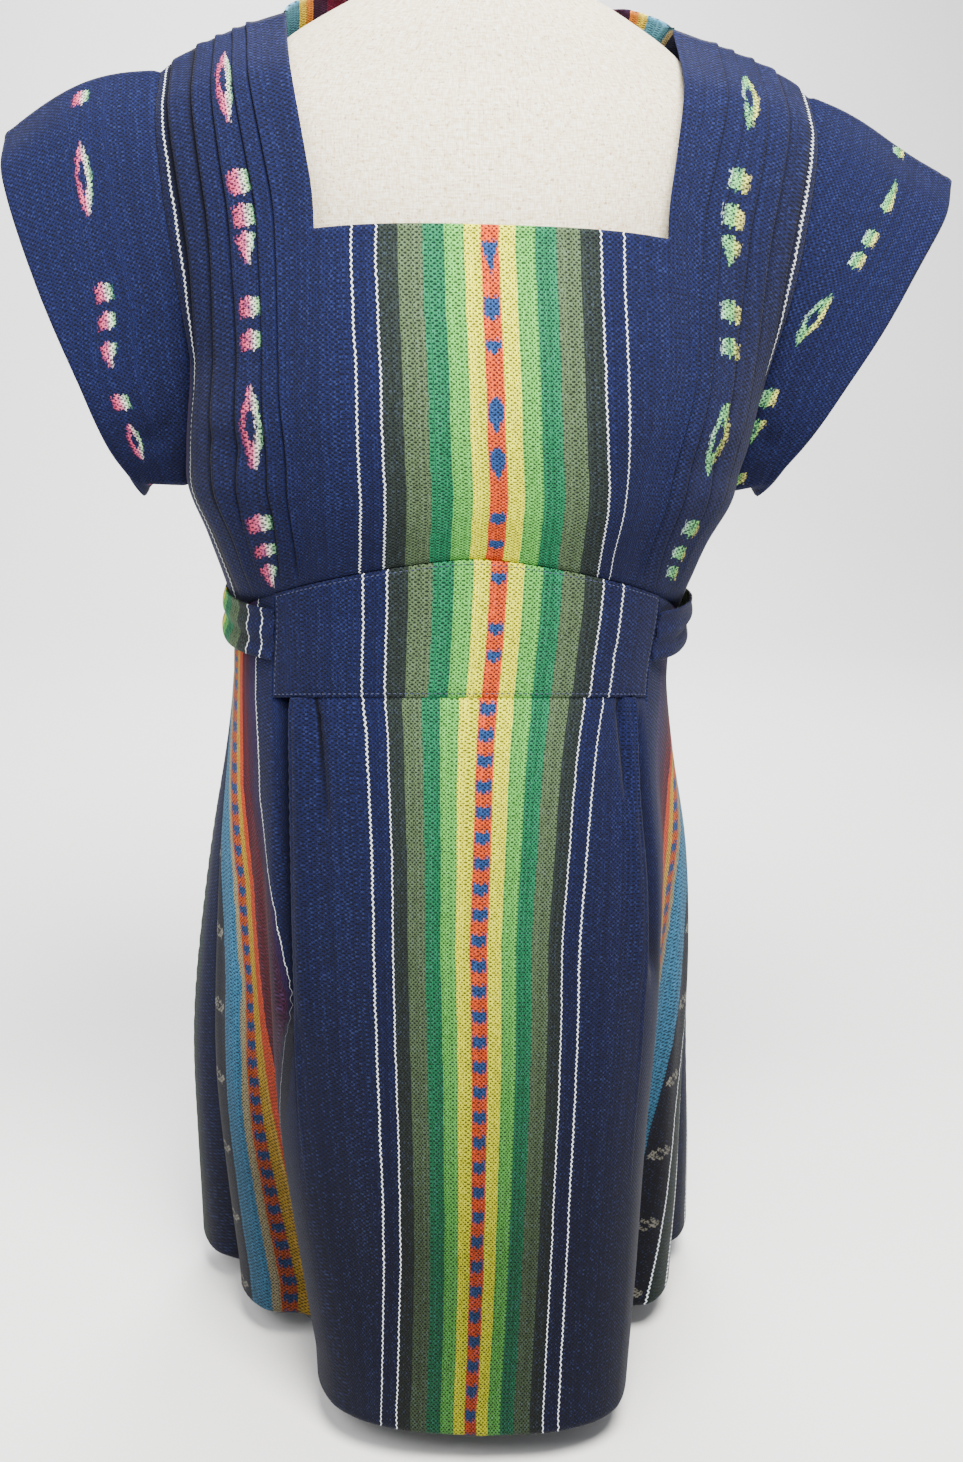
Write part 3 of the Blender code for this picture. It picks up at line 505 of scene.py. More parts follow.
@dataclass
class ClothPanel:
    """One cut piece of cloth as a grid: rows run down or out, columns run across or round.

    Creases are rows of a place across and a place down for the start, the middle and the end, then
    the width and the height, and where it isn't 0.5 the share of the length that fades at an end.
    """

    name: str
    slot: str
    place: Callable[[np.ndarray, np.ndarray], np.ndarray]
    columns: np.ndarray
    rows: np.ndarray
    across: np.ndarray
    along: np.ndarray
    lift: np.ndarray
    flat: tuple
    area: float
    held: str
    rests_on: str
    creases: tuple = ()
    middle_x: float = 0.0
    keep: Optional[np.ndarray] = None
    closed: bool = False
    thickness: float = 0.0014
    clearance: float = 0.0006
    # the extra UV named edge: the distance from a fold or a rim, and a second number; finishes that
    # paint fold shade read it as the shade's strength
    edges: Optional[np.ndarray] = None

    def base(self) -> np.ndarray:
        """Place the inner face as worn, rows by columns."""
        return WORN.settle(self.place(self.columns, self.rows))

    def points(self) -> np.ndarray:
        """Place the outer face.

        Returns:
            Its points, rows by columns.
        """
        base = self.base()
        lift = self.lift + self.crease_lift(base)
        outer = base + self.normals(base) * lift[..., None]
        return FORM.push_out(outer, self.clearance + self.thickness)

    def normals(self, base: np.ndarray) -> np.ndarray:
        """Find the outward directions of a grid.

        Args:
            base: Points, rows by columns.

        Returns:
            Directions of length one.
        """
        rowwise = np.gradient(base, axis=0)
        if self.closed:
            ring = np.concatenate([base[:, -2:-1], base, base[:, 1:2]], axis=1)
            columnwise = np.gradient(ring, axis=1)[:, 1:-1]
        else:
            columnwise = np.gradient(base, axis=1)
        found = unit(np.cross(unit(columnwise), unit(rowwise)))
        away = base - np.array((self.middle_x, 0.0, 0.0))
        away[..., 2] = 0.0
        return found if np.sum(found * away) >= 0 else -found

    def crease_lift(self, base: np.ndarray) -> np.ndarray:
        """Add up the creases.

        Args:
            base: Points of the grid, rows by columns.

        Returns:
            How far each point is lifted.
        """
        total = np.zeros(base.shape[:2])
        ways = np.linspace(0, 1, 36)
        for row in self.creases:
            path = np.column_stack([(0.0, 0.5, 1.0), np.reshape(row[:6], (3, 2))])
            width, height, fade = (*row[6:], 0.5)[:3]
            first, second = curve(path, ways, 1), curve(path, ways, 2)
            line = WORN.settle(self.place(first[None, :], second[None, :]))[0]
            gaps = np.linalg.norm(base[:, :, None, :] - line[None, None], axis=-1)
            share = ways[np.argmin(gaps, axis=-1)]
            taper = ease(0.0, fade, share) * ease(0.0, fade, 1 - share)
            total += height * taper * dip(np.min(gaps, axis=-1), width * (0.75 + 0.5 * share))
        return total

    def mesh(self) -> bmesh.types.BMesh:
        """Lay a grid of faces on the points.

        Returns:
            The grid, with its UV.
        """
        outer = self.points()
        down, across = outer.shape[0] - 1, outer.shape[1] - 1
        panel = bmesh.new()
        bmesh.ops.create_grid(panel, x_segments=across, y_segments=down, size=0.5)
        spots = {}
        for vert in panel.verts:
            spots[vert] = (round((vert.co.y + 0.5) * down), round((vert.co.x + 0.5) * across))
        charts = [("cloth", np.stack([self.across, self.along], axis=-1))]
        charts += [("edge", self.edges)] if self.edges is not None else []
        layers = [(panel.loops.layers.uv.new(name), chart) for name, chart in charts]
        gone = []
        for face in panel.faces:
            cells = [spots[vert] for vert in face.verts]
            if self.keep is not None and not self.keep[min(cells)]:
                gone.append(face)
                continue
            for loop, cell in zip(face.loops, cells):
                for layer, chart in layers:
                    loop[layer].uv = chart[cell]
        for vert, cell in spots.items():
            vert.co = outer[cell]
        bmesh.ops.delete(panel, geom=gone, context="FACES")
        if self.closed:
            bmesh.ops.remove_doubles(panel, verts=panel.verts[:], dist=0.00002)
        panel.normal_update()
        row, column = outer.shape[0] // 2, outer.shape[1] // 3
        ahead = outer[row, column + 1] - outer[row, column]
        below = outer[row + 1, column] - outer[row, column]
        if np.dot(np.cross(ahead, below), self.normals(self.base())[row, column]) < 0:
            bmesh.ops.reverse_faces(panel, faces=panel.faces[:])
        return panel

    def build(self, material: bpy.types.Material) -> None:
        """Make the piece and let it stand for its CAD node.

        Args:
            material: Its finish.
        """
        thing = make_piece(f"{self.name}_cloth", self.mesh(), material, self.slot, self.name)
        thing.modifiers.new("wall", "SOLIDIFY").thickness = self.thickness


class Scalar:
    """A number in a node tree that takes part in sums."""

    def __init__(self, graph: "Graph", socket: bpy.types.NodeSocket) -> None:
        """Wrap the output that carries the number."""
        self.graph = graph
        self.socket = socket

    def math(self, operation: str, *others: "Scalar | float", clamp: bool = False) -> "Scalar":
        """Apply a Math node to this number and the others."""
        return self.graph.math(operation, self, *others, clamp=clamp)

    def __add__(self, other: "Scalar | float") -> "Scalar":
        """Add a number."""
        return self.math("ADD", other)

    __radd__ = __add__

    def __sub__(self, other: "Scalar | float") -> "Scalar":
        """Take a number away."""
        return self.math("SUBTRACT", other)

    def __rsub__(self, other: float) -> "Scalar":
        """Take this number away from another."""
        return self.graph.math("SUBTRACT", other, self)

    def __mul__(self, other: "Scalar | float") -> "Scalar":
        """Multiply by a number."""
        return self.math("MULTIPLY", other)

    def __truediv__(self, other: "Scalar | float") -> "Scalar":
        """Divide by a number."""
        return self.math("DIVIDE", other)

    def __abs__(self) -> "Scalar":
        """Drop the sign."""
        return self.math("ABSOLUTE")

    def floor(self) -> "Scalar":
        """Round down to a whole number."""
        return self.math("FLOOR")

    def wrap(self) -> "Scalar":
        """Keep the part after the point."""
        return self.math("FRACT")

    def wave(self) -> "Scalar":
        """Go from 0 to 1 and back once for each whole number."""
        return (self * (2 * math.pi)).math("SINE") * 0.5 + 0.5

    def clamped(self) -> "Scalar":
        """Keep the number between 0 and 1."""
        return self.math("MULTIPLY", 1.0, clamp=True)

    def above(self, edge: "Scalar | float", soft: float) -> "Scalar":
        """Step from 0 to 1 round an edge, softly over a width."""
        return ((self - edge) / soft + 0.5).clamped()

    def below(self, edge: "Scalar | float", soft: float) -> "Scalar":
        """Step from 1 to 0 round an edge, softly over a width."""
        return 1.0 - self.above(edge, soft)

    def most(self, other: "Scalar | float") -> "Scalar":
        """Keep the larger number."""
        return self.math("MAXIMUM", other)


def srgb(red: float, green: float, blue: float) -> tuple:
    """Turn a colour read off a screen into the linear one that nodes take.

    Args:
        red: Red, 0 to 255.
        green: Green, 0 to 255.
        blue: Blue, 0 to 255.

    Returns:
        The linear colour with alpha 1.
    """
    shares = [channel / 255 for channel in (red, green, blue)]
    linear = [s / 12.92 if s <= 0.04045 else ((s + 0.055) / 1.055) ** 2.4 for s in shares]
    return (*linear, 1.0)


def colour_rows(*rows: tuple) -> tuple:
    """Pair the place of each row with its colour, given as red, green and blue, 0 to 255."""
    return tuple((place, srgb(*channels)) for place, *channels in rows)


class Graph:
    """The node tree of one finish."""

    def __init__(self, name: str) -> None:
        """Start a finish.

        Args:
            name: The material's name.
        """
        self.material = bpy.data.materials.new(name)
        self.material.use_nodes = True
        self.tree = self.material.node_tree
        self.shader = self.tree.nodes["Principled BSDF"]

    def put(self, socket: bpy.types.NodeSocket, value: object) -> None:
        """Link or set an input.

        Args:
            socket: The input.
            value: A scalar, an output or a plain value.
        """
        value = value.socket if isinstance(value, Scalar) else value
        if isinstance(value, bpy.types.NodeSocket):
            self.tree.links.new(value, socket)
        else:
            socket.default_value = value

    def node(self, kind: str, settings: dict, inputs: dict) -> bpy.types.Node:
        """Add a node.

        Args:
            kind: Its type.
            settings: Its attributes.
            inputs: Its inputs by name or number.

        Returns:
            The node.
        """
        made = self.tree.nodes.new(kind)
        for key, value in settings.items():
            setattr(made, key, value)
        for key, value in inputs.items():
            self.put(made.inputs[key], value)
        return made

    def math(self, operation: str, *values: "Scalar | float", clamp: bool = False) -> Scalar:
        """Add a Math node with these inputs."""
        settings = {"operation": operation, "use_clamp": clamp}
        return Scalar(self, self.node("ShaderNodeMath", settings, dict(enumerate(values))).outputs[0])

    def blend(
        self, factor: "Scalar | float", first: object, second: object, how: str = "MIX"
    ) -> bpy.types.NodeSocket:
        """Mix a share of the second colour into the first."""
        settings = {"data_type": "RGBA", "blend_type": how}
        return self.node("ShaderNodeMix", settings, {0: factor, 6: first, 7: second}).outputs[2]

    def ramp(self, at: Scalar, stops: Sequence[tuple], linear: bool = False) -> bpy.types.NodeSocket:
        """Read a colour ramp.

        Args:
            at: Where to read, from 0 to 1.
            stops: Places with the colour that starts there.
            linear: Whether colours run into each other.

        Returns:
            The colour.
        """
        made = self.node("ShaderNodeValToRGB", {}, {0: at})
        bar = made.color_ramp
        bar.interpolation = "LINEAR" if linear else "CONSTANT"
        for index, (place, colour) in enumerate(stops):
            spot = bar.elements[index] if index < 2 else bar.elements.new(place)
            spot.position = place
            spot.color = colour
        return made.outputs[0]

    def split(self, vector: bpy.types.NodeSocket) -> list[Scalar]:
        """Take a vector apart."""
        parts = self.node("ShaderNodeSeparateXYZ", {}, {0: vector})
        return [Scalar(self, output) for output in parts.outputs]

    def uv(self, layer: str) -> list[Scalar]:
        """Read the two coordinates of a UV layer in millimetres."""
        source = self.node("ShaderNodeUVMap", {"uv_map": layer}, {}).outputs[0]
        return [part * 1000.0 for part in self.split(source)[:2]]

    def object_point(self) -> bpy.types.NodeSocket:
        """Read the Object coordinates."""
        return self.node("ShaderNodeTexCoord", {}, {}).outputs["Object"]

    def point(self, x: object, y: object, z: object = 0.0) -> bpy.types.NodeSocket:
        """Join three numbers to a vector."""
        return self.node("ShaderNodeCombineXYZ", {}, {0: x, 1: y, 2: z}).outputs[0]

    def noise(self, where: object, scale: float = 1.0, detail: float = 2.0) -> Scalar:
        """Read smooth noise round 0.5."""
        inputs = {"Vector": where, "Scale": scale, "Detail": detail, "Roughness": 0.55}
        return Scalar(self, self.node("ShaderNodeTexNoise", {}, inputs).outputs[0])

    def dice(self, where: object) -> Scalar:
        """Give each whole-numbered place a random value of its own, 0 to 1."""
        return Scalar(self, self.node("ShaderNodeTexWhiteNoise", {}, {"Vector": where}).outputs[0])

    def shade(self, colour: object, bright: Scalar) -> bpy.types.NodeSocket:
        """Multiply a colour by a number."""
        return self.blend(1.0, colour, self.point(bright, bright, bright), "MULTIPLY")

    def finish(
        self,
        colour: object,
        roughness: object,
        height: Optional[Scalar] = None,
        depth: float = 0.0003,
        strength: float = 0.6,
        **constants: float,
    ) -> bpy.types.Material:
        """Join the results to the shader.

        Args:
            colour: The base colour.
            roughness: The roughness.
            height: The relief, 0 to 1.
            depth: The relief's height in metres.
            strength: How strongly it shades.
            constants: Other inputs of the shader, with blanks as underscores.

        Returns:
            The material.
        """
        self.put(self.shader.inputs["Base Color"], colour)
        self.put(self.shader.inputs["Roughness"], roughness)
        for key, value in constants.items():
            self.shader.inputs[key.replace("_", " ")].default_value = value
        if height is not None:
            inputs = {"Strength": strength, "Distance": depth, "Height": height}
            self.put(self.shader.inputs["Normal"], self.node("ShaderNodeBump", {}, inputs).outputs[0])
        return self.material


class Motif(Enum):
    """The outline of an ikat motif, as rows: share of its length, half millimetres on, and width."""

    SQUARE = ((0.0, 0, 0.0), (0.0, 1, 1.0), (1.0, -1, 1.0), (1.0, 0, 0.0))
    LENS = ((0.0, 0, 0.0), (0.25, 0, 0.72), (0.48, 0, 1.0), (0.72, 0, 0.72), (1.0, 0, 0.0))
    DROP = ((0.0, 0, 0.0), (0.0, 1, 1.0), (1.0, 0, 0.0))
    RISE = ((0.0, 0, 0.0), (1.0, -1, 1.0), (1.0, 0, 0.0))


def motif_rows(**kinds: Sequence[tuple]) -> list[tuple]:
    """List motifs by where they start, from the start and length in millimetres of each kind."""
    rows = [(Motif[kind.upper()], *row) for kind, places in kinds.items() for row in places]
    return sorted(rows, key=lambda row: row[1])


@dataclass(frozen=True)
class Lane:
    """A lane of ikat motifs in the cloth, in millimetres of cloth."""

    middle: float
    half_width: float
    motifs: Sequence[tuple]
    tints: tuple


NAVY = (11, 17, 54)
BLUE = srgb(32, 62, 112)
RING = srgb(180, 176, 160)
THREAD = srgb(226, 232, 236)
# the painted shadow along both sides of each white thread
THREAD_SHADE = srgb(10, 12, 34)
HOLLOW = srgb(8, 12, 26)
PALE_YARN = srgb(84, 100, 160)
# the painted shade laid in the deep tuck and skirt folds, near black
PAINTED_FOLD_SHADE = srgb(4, 5, 16)
# how far from the middle the two threads beside the middle stripes lie, in millimetres of cloth
THREADS = (68.9, 83.6)
PINK_LANE = colour_rows(
    (0.0, 110, 40, 60), (0.2, 186, 62, 96), (0.48, 206, 96, 130), (0.64, 232, 222, 216),
    (0.8, 160, 214, 150), (1.0, 50, 140, 76),
)
GREEN_LANE = colour_rows(
    (0.0, 196, 214, 214), (0.25, 120, 196, 130), (0.55, 104, 180, 96), (0.75, 206, 216, 96),
    (1.0, 214, 200, 96),
)
# how far from the middle each stripe starts, in millimetres of cloth
STRIPES = colour_rows(
    (0.0, 190, 66, 12), (5.1, 206, 208, 4), (15.5, 84, 160, 66), (27.5, 20, 98, 62), (41.0, 70, 88, 60),
    (54.5, 30, 38, 34), (68.6, *NAVY), (198.0, 38, 18, 60), (211.0, 50, 12, 42), (221.0, 76, 10, 26),
    (236.0, 186, 62, 18), (246.0, 176, 140, 36), (256.0, 170, 72, 22), (267.0, 140, 130, 98),
    (276.0, 50, 108, 142), (292.0, 10, 13, 30), (318.0, 18, 44, 34), (331.0, *NAVY),
)
# the start and length of each motif in millimetres down the cloth
LEFT_MOTIFS = motif_rows(
    lens=((20, 72), (241, 62)),
    square=((116, 14), (137, 13), (192, 12), (213, 11), (328, 11), (348, 9)),
    drop=((154, 24), (364, 22)),
)
RIGHT_MOTIFS = motif_rows(
    lens=((26, 56), (246, 54)),
    square=((106, 13), (129, 13), (187, 12), (210, 11), (327, 10), (346, 9), (362, 8)),
    drop=((148, 22),),
)
CENTRE_MOTIFS = motif_rows(
    lens=((254, 24), (284, 24)),
    square=((199, 12), (223, 7), (336, 9), (363, 9)),
    drop=((168, 20),),
)
BAND_MOTIFS = motif_rows(square=((9, 7), (42, 7), (59, 7)))
LEFT_SLEEVE_MOTIFS = motif_rows(
    lens=((44, 56), (224, 34), (310, 50)),
    square=((8, 12), (136, 11), (154, 10), (206, 10), (280, 11)),
    drop=((172, 20),),
)
RIGHT_SLEEVE_MOTIFS = motif_rows(
    lens=((124, 40), (300, 50)),
    square=((1, 8), (78, 11), (95, 11), (190, 11), (250, 11), (270, 10)),
    drop=((210, 20),),
    rise=((28, 33),),
)
PLAIN_STRIPES = colour_rows((0.0, *NAVY), (300.0, *NAVY))
BACK_STRIPES = colour_rows(
    (0.0, *NAVY), (62.0, 44, 22, 66), (74.0, 92, 14, 44), (97.0, 46, 12, 40), (107.0, 190, 110, 30),
    (112.0, 204, 180, 50), (116.5, 70, 130, 160), (126.0, 140, 130, 98), (130.0, *NAVY),
    (194.5, 44, 22, 66), (197.5, 84, 14, 40),
)


@dataclass(frozen=True)
class ClothFinish:
    """The striped handwoven cloth, as it is cut for one piece, in millimetres of cloth."""

    name: str
    threads: tuple = THREADS
    sided: tuple = ()
    centre: Sequence[tuple] = ()
    centre_step: float = 17.0
    lanes: tuple = ()
    lane_span: float = 420.0
    centre_half: float = 6.6
    square_half: float = 5.0
    thread_half: float = 0.47
    shade_half: float = 1.3
    side_lane: bool = True
    side_middle: float = 261.5
    side_half: float = 4.6
    block_step: float = 15.0
    rings: bool = False
    ring_middle: float = 305.0
    ring_step: float = 58.0
    reach: float = 340.0
    yarn: float = 0.93
    rib: float = 3.5
    slant: float = 2.9
    pick: float = 1.95
    # whether painted fold shade is laid on where the extra UV named edge marks a fold
    paints_fold_shade: bool = False
    stripes: tuple = STRIPES
    # painted shade for weaker light lower down: how much darker the cloth gets downwards, from where
    # and over what length
    painted_low_shade: float = 0.0
    fall_from: float = 200.0
    fall_over: float = 360.0

    def field_of(self, graph: Graph, at: Scalar, motifs: Sequence[tuple]) -> Scalar:
        """Read how wide the motifs of a lane are at a place along it.

        Args:
            graph: The tree.
            at: The place along the lane.
            motifs: Kind, start and length of each.

        Returns:
            The half width as a share of the lane's.
        """
        total: Optional[Scalar] = None
        for first in range(0, len(motifs), 6):
            stops = [(0.0, (0.0, 0.0, 0.0, 1.0))]
            for kind, start, length in motifs[first : first + 6]:
                for share, steps, wide in kind.value:
                    place = (start + share * length + 0.5 * steps) / self.lane_span
                    stops.append((place, (wide, wide, wide, 1.0)))
            found = Scalar(graph, graph.ramp(at / self.lane_span, stops, linear=True))
            total = found if total is None else total.most(found)
        return total

    def lane(
        self, graph: Graph, colour: object, lane: Lane, u: Scalar, v: Scalar, fray: Scalar
    ) -> object:
        """Weave the motifs of one lane over a colour.

        Args:
            graph: The tree.
            colour: The colour below.
            lane: The lane.
            u: The place across.
            v: The place along, uneven by yarn.
            fray: Noise round 0 that roughens the outlines.

        Returns:
            The colour with the motifs.
        """
        beside = u - lane.middle
        wide = self.field_of(graph, v, lane.motifs) * lane.half_width
        inside = (wide + fray * 1.6 - abs(beside)).above(0.6, 0.5) * wide.above(1.6, 0.4)
        holes = [
            (kind, start + 0.26 * length, 0.46 * length)
            for kind, start, length in lane.motifs
            if kind is Motif.LENS
        ]
        hole = self.field_of(graph, v, holes) * (lane.half_width * 0.5)
        inside = inside * (1.0 - (hole + fray * 1.2 - abs(beside + 0.6)).above(0.4, 0.5))
        inside = inside * abs(beside).below(lane.half_width + 0.3, 0.3)
        tint = graph.ramp(beside / (2 * lane.half_width) + 0.5, lane.tints, linear=True)
        return graph.blend(inside * (1.0 - fray.above(0.12, 0.5) * 0.72), colour, tint)

    def make(self) -> bpy.types.Material:
        """Build the finish.

        Returns:
            The material.
        """
        graph = Graph(self.name)
        across, along = graph.uv("cloth")
        slow = graph.noise(graph.point(across * 0.02, along * 0.045)) - 0.5
        quick = graph.noise(graph.point(across * 0.5, along * 0.5)) - 0.5
        u = across + slow * 1.6 + quick * 0.5
        yarn = (u / self.yarn).floor()
        weft = (along / self.pick).floor()
        tone = graph.dice(graph.point(yarn, 3.0))
        fleck = graph.dice(graph.point(yarn, weft, 7.0))
        snapped = abs((yarn + 0.5) * self.yarn)
        stops = [(place / self.reach, colour) for place, colour in self.stripes]
        colour = graph.ramp(snapped / self.reach, stops)
        v = along + (tone - 0.5) * 3.4
        fray = (fleck - 0.5) * 1.4
        if self.stripes is STRIPES:
            if self.centre:
                wide = self.field_of(graph, v, self.centre) * self.centre_half
                square = (wide + fray - abs(u)).above(0.8, 0.6)
            else:
                square = (v / self.centre_step + 0.2).wrap().below(0.46, 0.08)
            colour = graph.blend(square * snapped.below(self.square_half, 0.3), colour, BLUE)
        if self.side_lane:
            beside = abs(snapped - self.side_middle).below(self.side_half, 0.3)
            blocks = (v / self.block_step).wrap().below(0.5, 0.08)
            colour = graph.blend(beside * blocks, colour, BLUE)
        for lane in self.lanes:
            colour = self.lane(graph, colour, lane, u, v, fray)
        if self.rings:
            beside = snapped - self.ring_middle
            turn = (v / self.ring_step).wrap() - 0.5
            ring = abs((turn * turn * 340.0 + beside * beside / 60.0).math("SQRT") - 1.0)
            pale = ring.below(0.34, 0.1) * abs(beside).below(10.0, 0.4)
            colour = graph.blend(pale * 0.6, colour, RING)
        loose = quick * 1.1 + (tone - 0.5) * 0.5
        ribs = (u / self.rib - along / self.slant + loose * 0.6).wave()
        picks = (u / self.rib + along / self.slant + loose * 0.6).wave()
        hollow = ((1.0 - ribs) * (1.0 - picks)).above(0.32, 0.3)
        wear = graph.noise(graph.point(across * 0.012, along * 0.009, 4.0), detail=3.0)
        bright = (tone - 0.5) * 0.26 + 1.0 + (fleck - 0.5) * 0.44 + (wear - 0.5) * 0.3
        # painted shade: darker towards the hem, where the light is weaker
        low = ((along - self.fall_from) / self.fall_over).clamped()
        bright = bright * (1.0 - hollow * 0.6) * (1.0 - low * self.painted_low_shade) * 1.08
        colour = graph.blend(hollow * 0.7, colour, HOLLOW)
        colour = graph.shade(colour, bright)
        pale = (fleck * 0.75 + tone * 0.25).above(0.72, 0.12) * (ribs * picks * 0.12)
        colour = graph.blend(pale, colour, PALE_YARN)
        raised: Optional[Scalar] = None
        sway = ((along / 3.4 + slow * 2.0).wave() - 0.5) * 0.9
        twist = (along / 2.2 + slow * 4.0).wave()
        spot = across + slow * 1.6
        for place in (*self.threads, *self.sided):
            gap = abs((abs(spot) if place in self.threads else spot) - place - sway)
            line = gap.below(self.thread_half, 0.25)
            # painted shadow along both sides of each white thread
            colour = graph.blend(gap.below(self.shade_half, 0.8) * 0.6, colour, THREAD_SHADE)
            colour = graph.blend(line * (0.98 - twist * 0.3), colour, THREAD)
            raised = line if raised is None else raised.most(line)
        # painted shade near each tuck groove and each deep skirt fold, darkest at the fold line
        if self.paints_fold_shade:
            gap, deep = graph.uv("edge")
            colour = graph.blend(gap.below(0.85, 0.8) * deep * 0.92, colour, PAINTED_FOLD_SHADE)
        height = ribs * 0.5 + picks * 0.3 + fleck * 0.2
        if raised is not None:
            height = height + raised * 0.8
        return graph.finish(
            colour,
            0.86 + (fleck - 0.5) * 0.1,
            height,
            depth=0.00035,
            strength=0.75,
            Sheen_Weight=0.03,
            Sheen_Roughness=0.6,
            Specular_IOR_Level=0.1,
        )


# the share across at which the length down a bodice is measured
MEASURED = 0.78
# distances of the finer grid lines beside a seam or edge, as shares of a panel
BESIDE = (0.003, 0.0065, 0.011, 0.018)


def seam_lift(
    gaps: Sequence[np.ndarray], depth: float = 0.0013, reach: float = 0.0026
) -> np.ndarray:
    """Lower a face beside its seams, by how far each point is from each of them."""
    return np.min([CLOTH - depth * dip(gap, reach) for gap in gaps], axis=0)


@dataclass(frozen=True)
class StripeMap:
    """Where the cloth's stripes lie across the worn dress."""

    # cloth coordinates of the two white threads beside the middle stripes
    threads: tuple = (0.0689, 0.0836)
    # height, the place of the middle stripe there, and of the inner thread beside it
    bodice_rows: tuple = (
        (0.93, -0.004, 0.0681), (0.8, -0.0039, 0.0681), (0.765, -0.0029, 0.0683),
        (0.718, -0.0005, 0.0684), (0.682, 0.0011, 0.0689), (0.645, 0.004, 0.0697),
        (0.606, 0.004, 0.0692), (0.56, 0.004, 0.069),
    )
    band_rows: tuple = (
        (0.606, 0.0073, 0.07), (0.584, 0.0069, 0.0695), (0.554, 0.0059, 0.0686),
        (0.518, 0.0041, 0.0673), (0.5, 0.0035, 0.0668),
    )
    skirt_rows: tuple = (
        (0.51, 0.0024, 0.0652), (0.485, 0.0015, 0.0625), (0.459, 0.0007, 0.0609), (0.407, 0.0, 0.058),
        (0.355, -0.0014, 0.056), (0.303, -0.0008, 0.0553), (0.25, -0.0005, 0.0539),
        (0.196, -0.0009, 0.052), (0.142, -0.0017, 0.0504), (0.089, -0.0035, 0.0495),
        (0.04, -0.0055, 0.0488),
    )
    tuck_scale: float = 0.2
    slip: float = 0.0095
    blend: tuple = (0.40, 0.60)

    def near(self, rows: tuple, points: np.ndarray) -> np.ndarray:
        """Find the cloth coordinate of worn points near the middle, signed by side."""
        z = points[..., 2]
        return (points[..., 0] - curve(rows, z)) * self.threads[0] / curve(rows, z, 2)

    def bodice(self, key: np.ndarray, points: np.ndarray) -> np.ndarray:
        """Find the cloth coordinate on the front bodice.

        Args:
            key: Each column's share across at the neck.
            points: Worn points.

        Returns:
            The coordinate, signed by side.
        """
        z, side = points[..., 2], np.abs(key)
        slipped = ease(0.70, 0.84, z) * ease(0.5, 0.66, key) * (1 - ease(0.88, 0.97, key))
        turned = np.sign(key) * (0.011 - 0.012 * ease(0.69, 0.74, z)) * ease(0.94, 1.0, side)
        far = self.tuck_scale * key + self.slip * slipped + turned
        return mix(self.near(self.bodice_rows, points), far, ease(*self.blend, side))


CHART = StripeMap()


